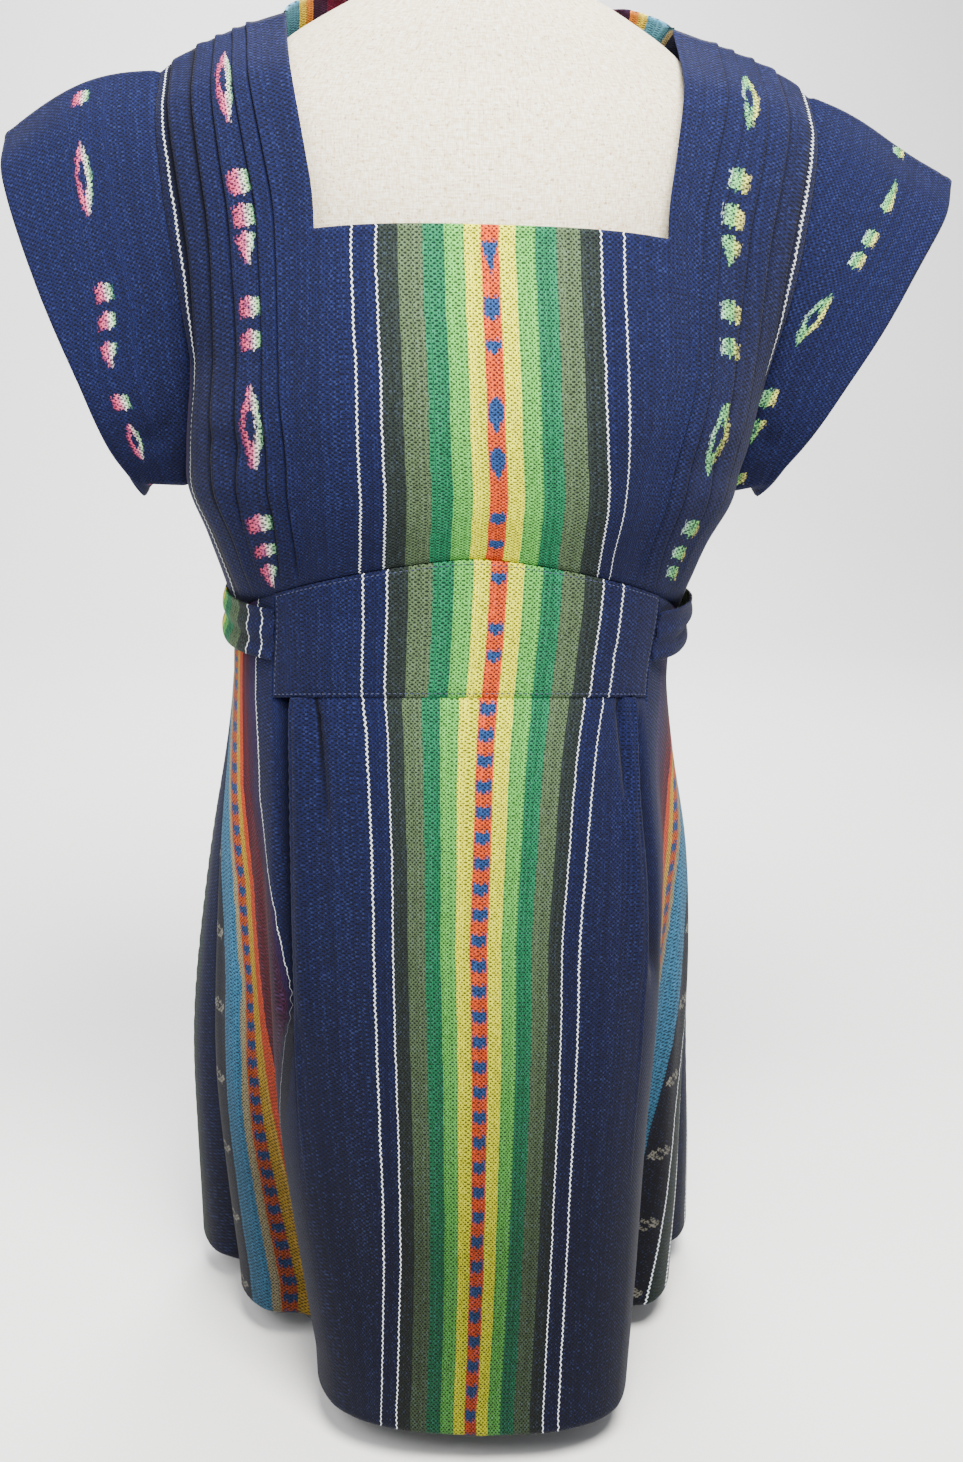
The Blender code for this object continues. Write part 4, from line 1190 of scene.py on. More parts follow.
@dataclass
class FrontBodice:
    """The front, with its square neck, its pressed tucks and its stripes."""

    # the way down, then where the neck's edge and the tucks run, as shares of the half width
    track_rows: tuple = (
        (0.00, 0.0, WORN.neck_part, 0.735, 0.775, 0.822, 0.875, 0.950, 1.0),
        (0.38, 0.0, 0.54, 0.652, 0.705, 0.787, 0.852, 0.925, 1.0),
        (0.54, 0.0, 0.47, 0.568, 0.625, 0.718, 0.822, 0.925, 1.0),
        (0.67, 0.0, 0.375, 0.452, 0.51, 0.61, 0.725, 0.86, 1.0),
        (0.75, 0.0, 0.345, 0.42, 0.478, 0.582, 0.68, 0.8, 1.0),
        (0.84, 0.0, 0.35, 0.424, 0.48, 0.597, 0.668, 0.775, 1.0),
        (1.0, 0.0, 0.385, 0.462, 0.54, 0.632, 0.69, 0.77, 1.0),
    )
    tuck_height: float = 0.0021
    tuck_flat_from: float = 0.90
    # offset from the fold across, and the share of the tuck's height there
    tuck_shape: tuple = (
        (-0.03, 0.12), (-0.015, 0.42), (-0.005, 0.86), (0.0, 1.0), (0.0016, 0.9), (0.003, -0.45),
        (0.0052, -0.5), (0.009, -0.06),
    )
    groove: float = 0.0042
    # how much wider each tuck is, as the cloth turns away to the side
    tuck_spread: tuple = (1.0, 1.15, 1.5, 2.1, 3.4)
    row_count: int = 88
    # depth, distance from the neck's edge and reach of the line that holds its facing
    facing: tuple = (0.0004, 0.0075, 0.0014)
    half_width: float = 0.195
    creases: tuple = (
        (0.93, 0.6, 0.8, 0.68, 0.66, 0.72, 0.009, -0.0022),
        (-0.93, 0.6, -0.82, 0.67, -0.68, 0.7, 0.008, -0.0024),
        (-0.9, 0.74, -0.74, 0.8, -0.58, 0.83, 0.01, -0.0018),
        (0.62, 0.5, 0.55, 0.66, 0.5, 0.84, 0.014, -0.0014),
        (-0.6, 0.44, -0.5, 0.62, -0.47, 0.86, 0.013, 0.0014),
        (-0.3, 0.55, -0.26, 0.72, -0.28, 0.93, 0.012, -0.001),
        (0.34, 0.48, 0.36, 0.66, 0.33, 0.9, 0.015, 0.001),
    )

    @property
    def neck_shares(self) -> np.ndarray:
        """Where the tracks run at the neck's lower edge, from the middle to the side."""
        return np.array(self.track_rows[1][1:])

    def place(self, key: np.ndarray, down: np.ndarray) -> np.ndarray:
        """Place points of the front.

        Args:
            key: Share across at the neck.
            down: The way down.

        Returns:
            The points.
        """
        shares = self.neck_shares
        index = np.clip(np.searchsorted(shares, np.abs(key), side="right") - 1, 0, len(shares) - 2)
        way = (np.abs(key) - shares[index]) / (shares[index + 1] - shares[index])
        tracks = np.stack([curve(self.track_rows, down, 1 + item) for item in range(len(shares))])
        low = np.take_along_axis(tracks, index[None], axis=0)[0]
        high = np.take_along_axis(tracks, index[None] + 1, axis=0)[0]
        return WORN.bodice(Half.FRONT, np.copysign(mix(low, high, way), key), down)

    def tuck_lift(self, key: np.ndarray, down: np.ndarray) -> np.ndarray:
        """Raise the tucks.

        Args:
            key: Share across at the neck.
            down: The way down.

        Returns:
            How far each point is lifted.
        """
        total = np.zeros_like(key)
        for number, tuck in enumerate(self.neck_shares[2:-1]):
            offset = (np.abs(key) - tuck) / self.tuck_spread[number]
            profile = np.interp(offset, *zip(*self.tuck_shape), left=0.0, right=0.0)
            total += profile * (1.0 - 0.1 * (number % 2))
        total *= np.where(key < 0, 1.0, 0.75)
        return total * self.tuck_height * (1 - ease(self.tuck_flat_from, 1.0, down))

    def groove_shade(self, key: np.ndarray, down: np.ndarray) -> np.ndarray:
        """Find the painted shade in the groove beside each tuck.

        Args:
            key: Share across at the neck.
            down: The way down.

        Returns:
            The distance from the nearest groove and how strong the painted shade there is, as metres of
            an extra UV.
        """
        spread = np.array(self.tuck_spread)
        tucks = self.neck_shares[2:-1] + self.groove * spread
        gap = np.min(np.abs(np.abs(key)[..., None] - tucks) / spread, axis=-1) * self.half_width
        deep = (1 - ease(self.tuck_flat_from, 1.0, down)) * np.where(key < 0, 1.0, 0.5)
        return np.stack([gap, deep * 0.001], axis=-1)

    def keys(self) -> np.ndarray:
        """Lay out the columns.

        Returns:
            Their shares across at the neck, over both sides.
        """
        half = {round(value, 5) for value in np.linspace(0, 1, 56)}
        neck, *tucks = self.neck_shares[1:-1]
        half = {value for value in half if all(abs(value - tuck) > 0.012 for tuck in tucks)}
        beside = [self.groove] + [offset for offset, _ in self.tuck_shape if offset > -0.02]
        for tuck, spread in zip(tucks, self.tuck_spread):
            half |= {round(tuck + offset * spread, 5) for offset in beside}
        half = {value for value in half if abs(value - neck) > 0.008}
        half |= {neck, neck + 0.006, neck + 0.014, neck + 0.024, 1 - 0.007, 1 - 0.015, 1 - 0.026}
        return both_sides(sorted(half))

    def panel(self) -> ClothPanel:
        """Lay out the piece.

        Returns:
            The panel.
        """
        neck_row, neck_key = WORN.neck_down, self.neck_shares[1]
        rows = {row for row in spaced(0, 1, self.row_count, BESIDE) if abs(row - neck_row) > 0.004}
        rows |= {neck_row + step for step in (0.0, 0.0035, 0.008, 0.014)}
        key, down = np.meshgrid(self.keys(), sorted(rows))
        base = self.place(key, down)
        top, low = distances(base, 0)
        side = np.minimum(*distances(base, 1))
        lift = seam_lift((top, low, side)) + self.tuck_lift(key, down)
        beside = np.abs(np.abs(key) - neck_key) * self.half_width + np.where(down < neck_row, 0, 9)
        under = np.abs(down - neck_row) * 0.37 + np.where(np.abs(key) <= neck_key + 0.001, 0, 9)
        rim = np.minimum(beside, under)
        lift -= EDGE_DEPTH * dip(rim, EDGE_REACH) + stitched(rim, *self.facing)
        cells = np.abs(key[:-1, :-1] + key[1:, 1:]) / 2
        along = top[:, np.argmin(np.abs(key[0] - MEASURED))]
        return ClothPanel(
            name="front_bodice",
            slot="bodice_cloth",
            place=self.place,
            columns=key,
            rows=down,
            across=CHART.bodice(key, WORN.settle(base)),
            along=np.broadcast_to(along[:, None], key.shape),
            lift=lift,
            creases=self.creases,
            keep=~((cells < neck_key) & (down[:-1, :-1] + 1e-6 < neck_row)),
            edges=self.groove_shade(key, down),
            flat=(0.54, 0.43),
            area=0.156,
            held="stretched",
            rests_on="form_torso",
        )


@dataclass
class BackBodice:
    """The plain back, cut high at the neck."""

    creases: tuple = (
        (0.86, 0.58, 0.66, 0.64, 0.44, 0.66, 0.011, -0.0028),
        (-0.88, 0.6, -0.64, 0.65, -0.46, 0.69, 0.012, -0.003),
        (0.22, 0.6, 0.18, 0.78, 0.24, 0.95, 0.015, -0.0024),
        (-0.3, 0.52, -0.26, 0.72, -0.2, 0.93, 0.014, -0.002),
        (0.55, 0.7, 0.5, 0.84, 0.4, 0.97, 0.012, 0.002),
        (-0.58, 0.74, -0.52, 0.86, -0.46, 0.96, 0.012, 0.0022),
        (-0.1, 0.06, 0.0, 0.1, 0.1, 0.06, 0.01, -0.001),
    )

    def panel(self) -> ClothPanel:
        """Lay out the piece.

        Returns:
            The panel.
        """
        place = partial(WORN.bodice, Half.BACK)
        half = sorted({*spaced(0, 1, 58, (0.007, 0.015)), WORN.neck_part})
        part, down = np.meshgrid(both_sides(half), spaced(0, 1, 84, BESIDE))
        base = place(part, down)
        top, low = distances(base, 0)
        lift = seam_lift((top, low, np.minimum(*distances(base, 1))))
        neck = (np.abs(part) < WORN.neck_part) & (top < 0.012)
        lift = np.where(neck, CLOTH - 0.0008 * dip(top, 0.0012), lift)
        along = top[:, np.argmin(np.abs(part[0] - MEASURED))]
        return ClothPanel(
            name="back_bodice",
            slot="bodice_cloth",
            place=place,
            columns=part,
            rows=down,
            across=mix(base[..., 0], 0.2 * part, ease(0.74, 0.95, np.abs(part))),
            along=np.broadcast_to(along[:, None], part.shape),
            lift=lift,
            creases=self.creases,
            flat=(0.55, 0.48),
            area=0.2,
            held="stretched",
            rests_on="form_torso",
        )


@dataclass
class Sleeve:
    """A short wide sleeve, open at its end."""

    side: Side
    creases: tuple = (
        (0.4, 0.05, 0.44, 0.4, 0.42, 0.9, 0.01, -0.003),
        (0.6, 0.05, 0.58, 0.5, 0.62, 0.9, 0.01, -0.0028),
    )
    # the way round, then how far out the middle of the motifs' lane lies on the left and right
    lane_rows: tuple = (
        (0.0, 0.49, 0.66), (0.12, 0.49, 0.58), (0.22, 0.54, 0.44), (0.28, 0.56, 0.28),
        (0.36, 0.7, 0.14), (0.42, 0.68, 0.1), (0.54, 0.6, 0.2), (0.8, 0.5, 0.55), (1.0, 0.49, 0.66),
    )
    # depth, distance from the open end and reach of the hem's stitched line
    hem: tuple = (0.0005, 0.009, 0.0016)
    lane_place: float = 0.149
    middle_x: float = 0.19

    def panel(self) -> ClothPanel:
        """Lay out the piece.

        Returns:
            The panel.
        """
        place = partial(WORN.sleeve, self.side)
        columns, rows = np.linspace(0, 1, 181), spaced(0, 1, 36, (0.008, 0.018, 0.03))
        way, out = np.meshgrid(columns, rows)
        base = place(way, out)
        start, end = distances(base, 0)
        lift = seam_lift((start,))
        lift -= EDGE_DEPTH * dip(end, EDGE_REACH) + stitched(end, *self.hem)
        lane = curve(self.lane_rows, columns, self.side.pick(1, 2))
        reach = [np.interp(at, rows, start[:, item]) for item, at in enumerate(lane)]
        return ClothPanel(
            name=f"sleeve_{self.side.name.lower()}",
            slot="sleeve_cloth",
            place=place,
            columns=way,
            rows=out,
            middle_x=self.middle_x * self.side.value,
            across=self.side.value * (self.lane_place + start - np.array(reach)),
            along=np.broadcast_to(distances(base, 1)[0][len(rows) // 2], way.shape),
            lift=lift,
            creases=self.creases,
            closed=True,
            flat=(0.6, 0.12),
            area=self.side.pick(0.05, 0.041),
            held="hung",
            rests_on="front_bodice",
        )


@dataclass
class Band:
    """The shaped band under the bust, with its topstitching."""

    cloth: float = 0.0026
    # depth, distance from the rim and reach of its rounding and of the topstitched line
    edge: tuple = (0.0012, 0.0, 0.0011)
    stitches: tuple = (0.0005, 0.0024, 0.0009)
    measured_from: float = 0.606
    creases: tuple = (
        (-0.5, 0.25, -0.3, 0.35, -0.14, 0.3, 0.008, -0.0007),
        (0.52, 0.55, 0.36, 0.62, 0.18, 0.55, 0.009, -0.0007),
        (-0.42, 0.8, -0.36, 0.5, -0.4, 0.2, 0.006, 0.0006),
    )

    def place(self, part: np.ndarray, down: np.ndarray) -> np.ndarray:
        """Place points by the share round, and the way from the upper to the lower seam."""
        return WORN.skirt(Half.FRONT, part, down - 1)

    def panel(self) -> ClothPanel:
        """Lay out the piece.

        Returns:
            The panel.
        """
        end = WORN.band_part
        columns = spaced(-end, end, 110, (0.003, 0.007, 0.012))
        part, down = np.meshgrid(columns, spaced(0.0, 1.0, 30, (0.008, 0.018, 0.032)))
        base = self.place(part, down)
        rim = np.min([*distances(base, 0), *distances(base, 1)], axis=0)
        return ClothPanel(
            name="front_band",
            slot="band_cloth",
            place=self.place,
            columns=part,
            rows=down,
            across=CHART.near(CHART.band_rows, WORN.settle(base)),
            along=self.measured_from - base[..., 2],
            lift=self.cloth - stitched(rim, *self.edge) - stitched(rim, *self.stitches),
            creases=self.creases,
            edges=np.stack([rim, rim], axis=-1),
            flat=(0.29, 0.092),
            area=0.024,
            held="stretched",
            rests_on="front_skirt",
        )


@dataclass
class Skirt:
    """Half of the skirt, hung from the waist and the band."""

    half: Half
    # ways down, then for each side a cloth coordinate with its share round at each of them
    levels: tuple = (0.0, 0.15, 0.30, 0.46, 0.70, 1.0)
    left_anchors: tuple = (
        (0.125, 0.494, 0.494, 0.485, 0.475, 0.455, 0.44),
        (0.133, 0.5, 0.5, 0.495, 0.5, 0.52, 0.52),
        (0.184, 0.575, 0.555, 0.535, 0.52, 0.6, 0.62),
        (0.197, 0.68, 0.67, 0.575, 0.53, 0.63, 0.65),
        (0.216, 0.735, 0.73, 0.6, 0.54, 0.655, 0.665),
        (0.236, 0.785, 0.785, 0.735, 0.735, 0.71, 0.7),
        (0.246, 0.81, 0.8, 0.755, 0.752, 0.75, 0.745),
        (0.256, 0.84, 0.82, 0.78, 0.775, 0.79, 0.79),
        (0.267, 0.9, 0.87, 0.815, 0.8, 0.82, 0.82),
        (0.276, 0.95, 0.89, 0.83, 0.81, 0.835, 0.835),
        (0.292, 1.0, 0.96, 0.92, 0.875, 0.885, 0.885),
        (0.325, 1.1, 1.06, 1.03, 0.97, 1.0, 1.0),
    )
    right_anchors: tuple = (
        (0.125, 0.494, 0.494, 0.48, 0.46, 0.45, 0.44),
        (0.133, 0.5, 0.5, 0.495, 0.49, 0.48, 0.47),
        (0.184, 0.58, 0.56, 0.56, 0.6, 0.62, 0.62),
        (0.197, 0.68, 0.615, 0.59, 0.625, 0.65, 0.65),
        (0.236, 1.0, 0.78, 0.64, 0.65, 0.67, 0.665),
        (0.246, 1.02, 0.8, 0.7, 0.68, 0.69, 0.68),
        (0.256, 1.04, 0.83, 0.745, 0.705, 0.71, 0.69),
        (0.267, 1.06, 0.87, 0.785, 0.725, 0.725, 0.7),
        (0.276, 1.08, 0.89, 0.8, 0.745, 0.74, 0.71),
        (0.292, 1.12, 0.97, 0.9, 0.87, 0.8, 0.75),
        (0.325, 1.2, 1.1, 1.03, 0.97, 0.9, 0.85),
        (0.345, 1.3, 1.2, 1.1, 1.05, 1.0, 1.0),
    )
    back_anchors: tuple = (
        (0.125, 0.4, 0.39, 0.38, 0.37, 0.36, 0.35),
        (0.155, 0.44, 0.43, 0.42, 0.42, 0.41, 0.4),
        (0.197, 0.5, 0.49, 0.48, 0.48, 0.47, 0.47),
        (0.236, 0.56, 0.55, 0.54, 0.54, 0.53, 0.53),
        (0.267, 0.61, 0.6, 0.59, 0.59, 0.58, 0.58),
        (0.292, 0.66, 0.65, 0.64, 0.64, 0.63, 0.63),
        (0.318, 0.8, 0.8, 0.79, 0.79, 0.79, 0.79),
        (0.345, 1.0, 1.0, 1.0, 1.0, 1.0, 1.0),
    )
    # way down, then the share round of the deep fold on the left and on the right
    fold_rows: tuple = (
        (0.0, 0.503, 0.503), (0.15, 0.505, 0.515), (0.3, 0.503, 0.52), (0.46, 0.504, 0.6),
        (0.7, 0.59, 0.64), (1.0, 0.62, 0.65),
    )
    # share round at the band and at the lower end of each small pleat, and its way down
    pleat_lines: tuple = ((-0.405, -0.375, 0.20), (0.43, 0.455, 0.17))
    # offset from the pleat's fold, and the share of its height there
    pleat_shape: tuple = (
        (-0.05, 0.0), (-0.014, 0.35), (-0.005, 0.85), (0.0, 1.0), (0.003, 0.8), (0.0055, -0.15),
        (0.011, 0.0),
    )
    pleat_part: float = 0.495
    pleat_height: float = 0.0042
    pleat_end: float = 0.42
    half_width: float = 0.16
    front_creases: tuple = (
        (-0.525, -0.1, -0.527, 0.2, -0.53, 0.48, 0.0065, -0.01, 0.12),
        (0.525, 0.0, 0.53, 0.2, 0.55, 0.42, 0.006, -0.008, 0.2),
        (-0.465, -0.02, -0.46, 0.2, -0.47, 0.5, 0.008, 0.004, 0.15),
        (0.47, 0.0, 0.465, 0.2, 0.48, 0.45, 0.008, 0.003, 0.2),
        (-0.405, -0.01, -0.39, 0.08, -0.375, 0.2, 0.0035, -0.005, 0.25),
        (0.43, -0.01, 0.445, 0.06, 0.455, 0.17, 0.0035, -0.0046, 0.25),
        (-0.24, 0.08, -0.22, 0.4, -0.27, 0.85, 0.016, 0.0022),
        (0.2, 0.18, 0.25, 0.5, 0.23, 0.96, 0.018, -0.0024),
        (0.03, 0.3, 0.07, 0.55, 0.02, 0.88, 0.02, 0.0018),
        (-0.36, 0.45, -0.38, 0.7, -0.34, 0.97, 0.014, -0.002),
        (-0.66, 0.05, -0.72, 0.35, -0.75, 0.8, 0.01, 0.003),
        (0.64, 0.08, 0.7, 0.4, 0.78, 0.75, 0.011, 0.0026),
        (0.84, 0.2, 0.88, 0.5, 0.86, 0.93, 0.012, -0.003),
        (-0.86, 0.12, -0.9, 0.45, -0.87, 0.9, 0.011, -0.0028),
    )
    back_creases: tuple = (
        (-0.1, -0.95, -0.13, -0.3, -0.1, 0.35, 0.008, -0.0034),
        (0.08, -0.95, 0.12, -0.2, 0.14, 0.5, 0.009, -0.0036),
        (-0.34, -0.9, -0.36, -0.1, -0.33, 0.42, 0.009, 0.0032),
        (0.36, -0.9, 0.33, 0.05, 0.38, 0.6, 0.01, 0.0034),
        (-0.62, -0.6, -0.6, 0.15, -0.64, 0.72, 0.011, -0.0032),
        (0.58, -0.7, 0.61, 0.2, 0.57, 0.66, 0.011, -0.003),
        (-0.84, 0.0, -0.82, 0.4, -0.86, 0.92, 0.012, 0.0028),
        (0.86, -0.1, 0.88, 0.35, 0.84, 0.95, 0.012, -0.0026),
        (0.0, 0.25, -0.03, 0.6, 0.02, 0.97, 0.016, 0.0024),
    )

    def crossings(self, cloth: np.ndarray, shares: np.ndarray) -> list[tuple]:
        """Find where the middle and the two threads lie on a level line.

        Args:
            cloth: The cloth coordinate along the line, rising outwards.
            shares: The shares of the way round.

        Returns:
            Cloth coordinates with their shares round.
        """
        middle = len(shares) // 2
        if cloth[middle] > 0:
            begin = middle - int(np.argmax(cloth[middle::-1] <= 0))
        else:
            begin = middle + int(np.argmax(cloth[middle:] > 0)) - 1
        found = []
        for wanted in (0.0, *CHART.threads):
            last = begin + int(np.argmax(cloth[begin:] >= wanted)) if wanted else begin + 1
            part = slice(begin, last + 1)
            found.append((wanted, float(np.interp(wanted, cloth[part], shares[part]))))
        return found

    def stripes(self, part: np.ndarray, down: np.ndarray) -> np.ndarray:
        """Find the cloth coordinate across the skirt.

        Args:
            part: Share of the way round, rows by columns.
            down: The way down, rows by columns.

        Returns:
            The coordinate, signed by side.
        """
        result = np.zeros_like(part)
        shares = np.linspace(-1, 1, 401)
        for index, level in enumerate(np.maximum(down[:, 0], 0.0)):
            line = WORN.settle(WORN.skirt(self.half, shares, np.full_like(shares, level)))
            line[:, 2] = line[200, 2]
            if self.half is Half.BACK:
                line[:, 0] -= line[200, 0] - float(curve(CHART.skirt_rows, line[200, 2]))
            cloth = CHART.near(CHART.skirt_rows, line)
            for side in Side:
                places = self.crossings(side.value * cloth[:: side.value], shares)
                rows = side.pick(self.left_anchors, self.right_anchors)
                for row in self.half.pick(rows, self.back_anchors):
                    places.append((row[0], float(np.interp(level, self.levels, row[1:]))))
                values, ways = zip(*places)
                outward = side.value * part[index]
                mine = outward >= ways[0]
                result[index][mine] = side.value * np.interp(outward[mine], ways, values)
        return result

    def columns(self) -> np.ndarray:
        """Lay out the columns.

        Returns:
            Their shares of the way round, over both sides.
        """
        half, fold, end = set(spaced(0, 1, 74, (0.006, 0.013))), self.pleat_part, WORN.band_part
        if self.half is Half.FRONT:
            half = {at for at in half if abs(at - fold) > 0.008 and abs(at - end) > 0.005}
            half |= {fold + step for step in (-0.014, -0.005, 0.0, 0.003, 0.0055, 0.011)}
            half |= {end, end + 0.004, end + 0.009}
            half |= {value / 250 for value in range(92, 137)}
        return both_sides(sorted(half))

    def shadows(self, part: np.ndarray, down: np.ndarray) -> np.ndarray:
        """Find the shade in the deep folds and the small pleats.

        Args:
            part: Share of the way round.
            down: The way down.

        Returns:
            The distance from the nearest fold and how dark it is, as metres of an extra UV.
        """
        line = np.where(part < 0, curve(self.fold_rows, down, 1), curve(self.fold_rows, down, 2))
        dark = (1 - ease(0.5, 0.75, down)) * self.half.pick(1.0, 0.0)
        dark = dark * np.where(part < 0, 1.0, ease(0.03, 0.12, down) * 0.7)
        past = line - np.abs(part)
        gap = np.maximum(past * 1.5, -past * 0.14) * self.half_width
        for top_share, low_share, end in self.pleat_lines:
            share = mix(top_share, low_share, np.maximum(down, 0.0) / end)
            near = np.abs(part - share) * self.half_width * self.half.pick(1.0, 9.0)
            dark = np.where(near < gap, 1 - ease(0.2 * end, end, down), dark)
            gap = np.minimum(near, gap)
        return np.stack([gap, dark * 0.001], axis=-1)

    def panel(self) -> ClothPanel:
        """Lay out the piece.

        Returns:
            The panel.
        """
        yoke = [row - 1 for row in spaced(0, 1, 16, (0.03, 0.07))]
        hanging = [row for row in spaced(0, 1, 120, (0.003, 0.007)) if row > 0]
        part, down = np.meshgrid(self.columns(), yoke + hanging)
        place = partial(WORN.skirt, self.half)
        base = place(part, down)
        top, low = distances(base, 0)
        seam = np.minimum(*distances(base, 1))
        lift = seam_lift((top, seam), 0.0011, 0.0024) - 0.0009 * dip(low, 0.0014)
        keep = None
        if self.half is Half.FRONT:
            end, share, below = WORN.band_part, np.abs(part), np.maximum(down, 0.0)
            fold = np.interp(share - self.pleat_part, *zip(*self.pleat_shape))
            height = self.pleat_height * (1 - 0.55 * ease(0.0, self.pleat_end, below))
            lift += fold * height * (1 - ease(0.35, 0.75, below))
            lift -= 0.0008 * dip(np.where(share <= end + 0.001, below * 0.48, 9.0), 0.003)
            in_band = np.abs(part[:-1, :-1] + part[1:, 1:]) / 2 < end
            keep = ~(in_band & (down[1:, 1:] <= 1e-6))
        return ClothPanel(
            name=f"{self.half.name.lower()}_skirt",
            slot="skirt_cloth",
            place=place,
            columns=part,
            rows=down,
            across=self.stripes(part, down),
            along=np.broadcast_to((top[:, part.shape[1] // 2] + 0.09)[:, None], part.shape),
            lift=lift,
            creases=self.half.pick(self.front_creases, self.back_creases),
            keep=keep,
            edges=self.shadows(part, down),
            flat=self.half.pick((0.68, 0.59), (0.7, 0.53)),
            area=0.292,
            held="hung",
            rests_on="front_bodice",
        )


@dataclass
class Sash:
    """The two ties, their knot at the back and its hanging ends."""

    height: float = 0.546
    width: float = 0.034
    cloth: float = 0.0016
    wall: float = 0.0012
    # quarter turns from the front, lift off the waist, share of the slack
    tie_rows: tuple = (
        (0.581, 0.0022, 0.0), (0.7, 0.0052, 0.5), (1.0, 0.008, 1.0), (1.4, 0.0068, 0.3),
        (1.75, 0.0052, 0.0), (1.949, 0.0095, 0.0),
    )
    slack: tuple = (0.0005, 0.0045)
    taper: tuple = (1.6, 0.7)
    knot: tuple = (0.017, 0.008, 0.016)
    knot_lift: float = 0.0004
    tail_length: float = 0.23
    tail_spread: tuple = (0.034, 0.30, 0.8)
    tail_width: tuple = (0.42, 0.9, 0.35)
    tail_lift: tuple = (0.0053, 0.002)
    tie_creases: tuple = (
        (0.62, 0.3, 0.8, 0.1, 1.0, 0.16, 0.005, -0.0012),
        (0.95, -0.2, 1.3, -0.1, 1.6, -0.22, 0.005, -0.001),
        (1.4, 0.25, 1.7, 0.18, 1.93, 0.05, 0.004, 0.0012),
    )
    tail_creases: tuple = (
        (0.0, 0.1, 0.3, 0.2, 0.7, 0.1, 0.005, -0.0014),
        (0.2, -0.3, 0.5, -0.15, 0.95, -0.2, 0.005, 0.0012),
    )

    def waist(self, turn: np.ndarray) -> np.ndarray:
        """Follow the waist ring from the front's middle to the back's.

        Args:
            turn: Quarter turns, 0 to 2.

        Returns:
            The points, level with the origin.
        """
        zero = np.zeros_like(turn)
        front = WORN.skirt_ring(turn, zero, Half.FRONT)
        return np.where((turn <= 1)[..., None], front, WORN.skirt_ring(2 - turn, zero, Half.BACK))

    def tie(self, side: Side, turn: np.ndarray, row: np.ndarray) -> np.ndarray:
        """Place points of one tie.

        Args:
            side: Which tie.
            turn: Quarter turns from the front.
            row: The share across the tie.

        Returns:
            The points.
        """
        level = self.waist(turn)
        ahead = self.waist(turn + 0.01) - self.waist(turn - 0.01)
        out = unit(np.stack([-ahead[..., 1], ahead[..., 0], np.zeros_like(turn)], axis=-1))
        sign = np.sign(np.sum(out * level, axis=-1, keepdims=True))
        out = out * np.where(sign == 0, 1, sign)
        slack = side.pick(*self.slack) * curve(self.tie_rows, turn, 2)
        points = level + out * (curve(self.tie_rows, turn, 1) + slack)[..., None]
        taper = mix(1.0, self.taper[1], ease(self.taper[0], self.tie_rows[-1][0], turn))
        points[..., 2] = self.height - self.width * row * taper
        points[..., 0] *= side.value
        return points

    def tail(self, side: Side, way: np.ndarray, row: np.ndarray) -> np.ndarray:
        """Place points of one hanging end.

        Args:
            side: Which end.
            way: The way down.
            row: The share across the end.

        Returns:
            The points.
        """
        z = self.height - self.knot[2] - self.knot_lift - self.tail_length * way
        low = WORN.band_end_z
        down = np.clip((low - z) / (low - WORN.hem_z), 0.0, 1.0)
        behind = WORN.skirt(Half.BACK, np.zeros_like(down), down)[..., 1]
        most, top, by = self.tail_spread
        narrow, full, until = self.tail_width
        spread = side.value * most * mix(top, 1.0, ease(0.0, by, way))
        width = self.width * mix(narrow, full, ease(0.0, until, way))
        lift = self.tail_lift[0] + self.tail_lift[1] * (1 - way)
        return np.stack([spread + width * row, behind + lift, z], axis=-1)

    def strip(
        self, name: str, place: Callable, ends: tuple, start: float, folds: float, **facts: object
    ) -> ClothPanel:
        """Lay out one flat strip of the sash.

        Args:
            name: The CAD node that it stands for.
            place: Its placing.
            ends: The first and last place along it.
            start: The cloth coordinate at its first end.
            folds: The depth of the soft folds along it.
            facts: Other fields of the panel.

        Returns:
            The panel.
        """
        way, row = np.meshgrid(np.linspace(*ends, 130), np.linspace(-0.5, 0.5, 25))
        base = place(way, row)
        along = distances(base, 1)[0]
        rim = np.minimum(*distances(base, 0))
        wide = np.cos((row + 0.5) * 4 * math.pi + 30.0 * along)
        return ClothPanel(
            name=name,
            slot="sash_cloth",
            place=place,
            columns=way,
            rows=row,
            across=start - along,
            along=(row + 0.5) * self.width,
            lift=self.cloth + folds * wide - 0.0006 * dip(rim, 0.0012),
            thickness=self.wall,
            **facts,
        )

    def panels(self) -> list[ClothPanel]:
        """Lay out the ties and the hanging ends.

        Returns:
            The panels.
        """
        made = []
        for side in Side:
            word = side.name.lower()
            tie = self.strip(
                f"tie_{word}",
                partial(self.tie, side),
                (self.tie_rows[0][0], self.tie_rows[-1][0]),
                creases=self.tie_creases,
                start=side.pick(0.094, 0.150),
                folds=0.0009,
                flat=(0.31, 0.036),
                area=0.011,
                held="stretched",
                rests_on="back_skirt",
            )
            tail = self.strip(
                f"tie_tail_{word}",
                partial(self.tail, side),
                (0.0, 1.0),
                creases=self.tail_creases,
                start=-0.08,
                folds=0.0004,
                flat=(0.24, 0.034),
                area=0.007,
                held="hung",
                rests_on="tie_knot",
            )
            made += [tie, tail]
        return made

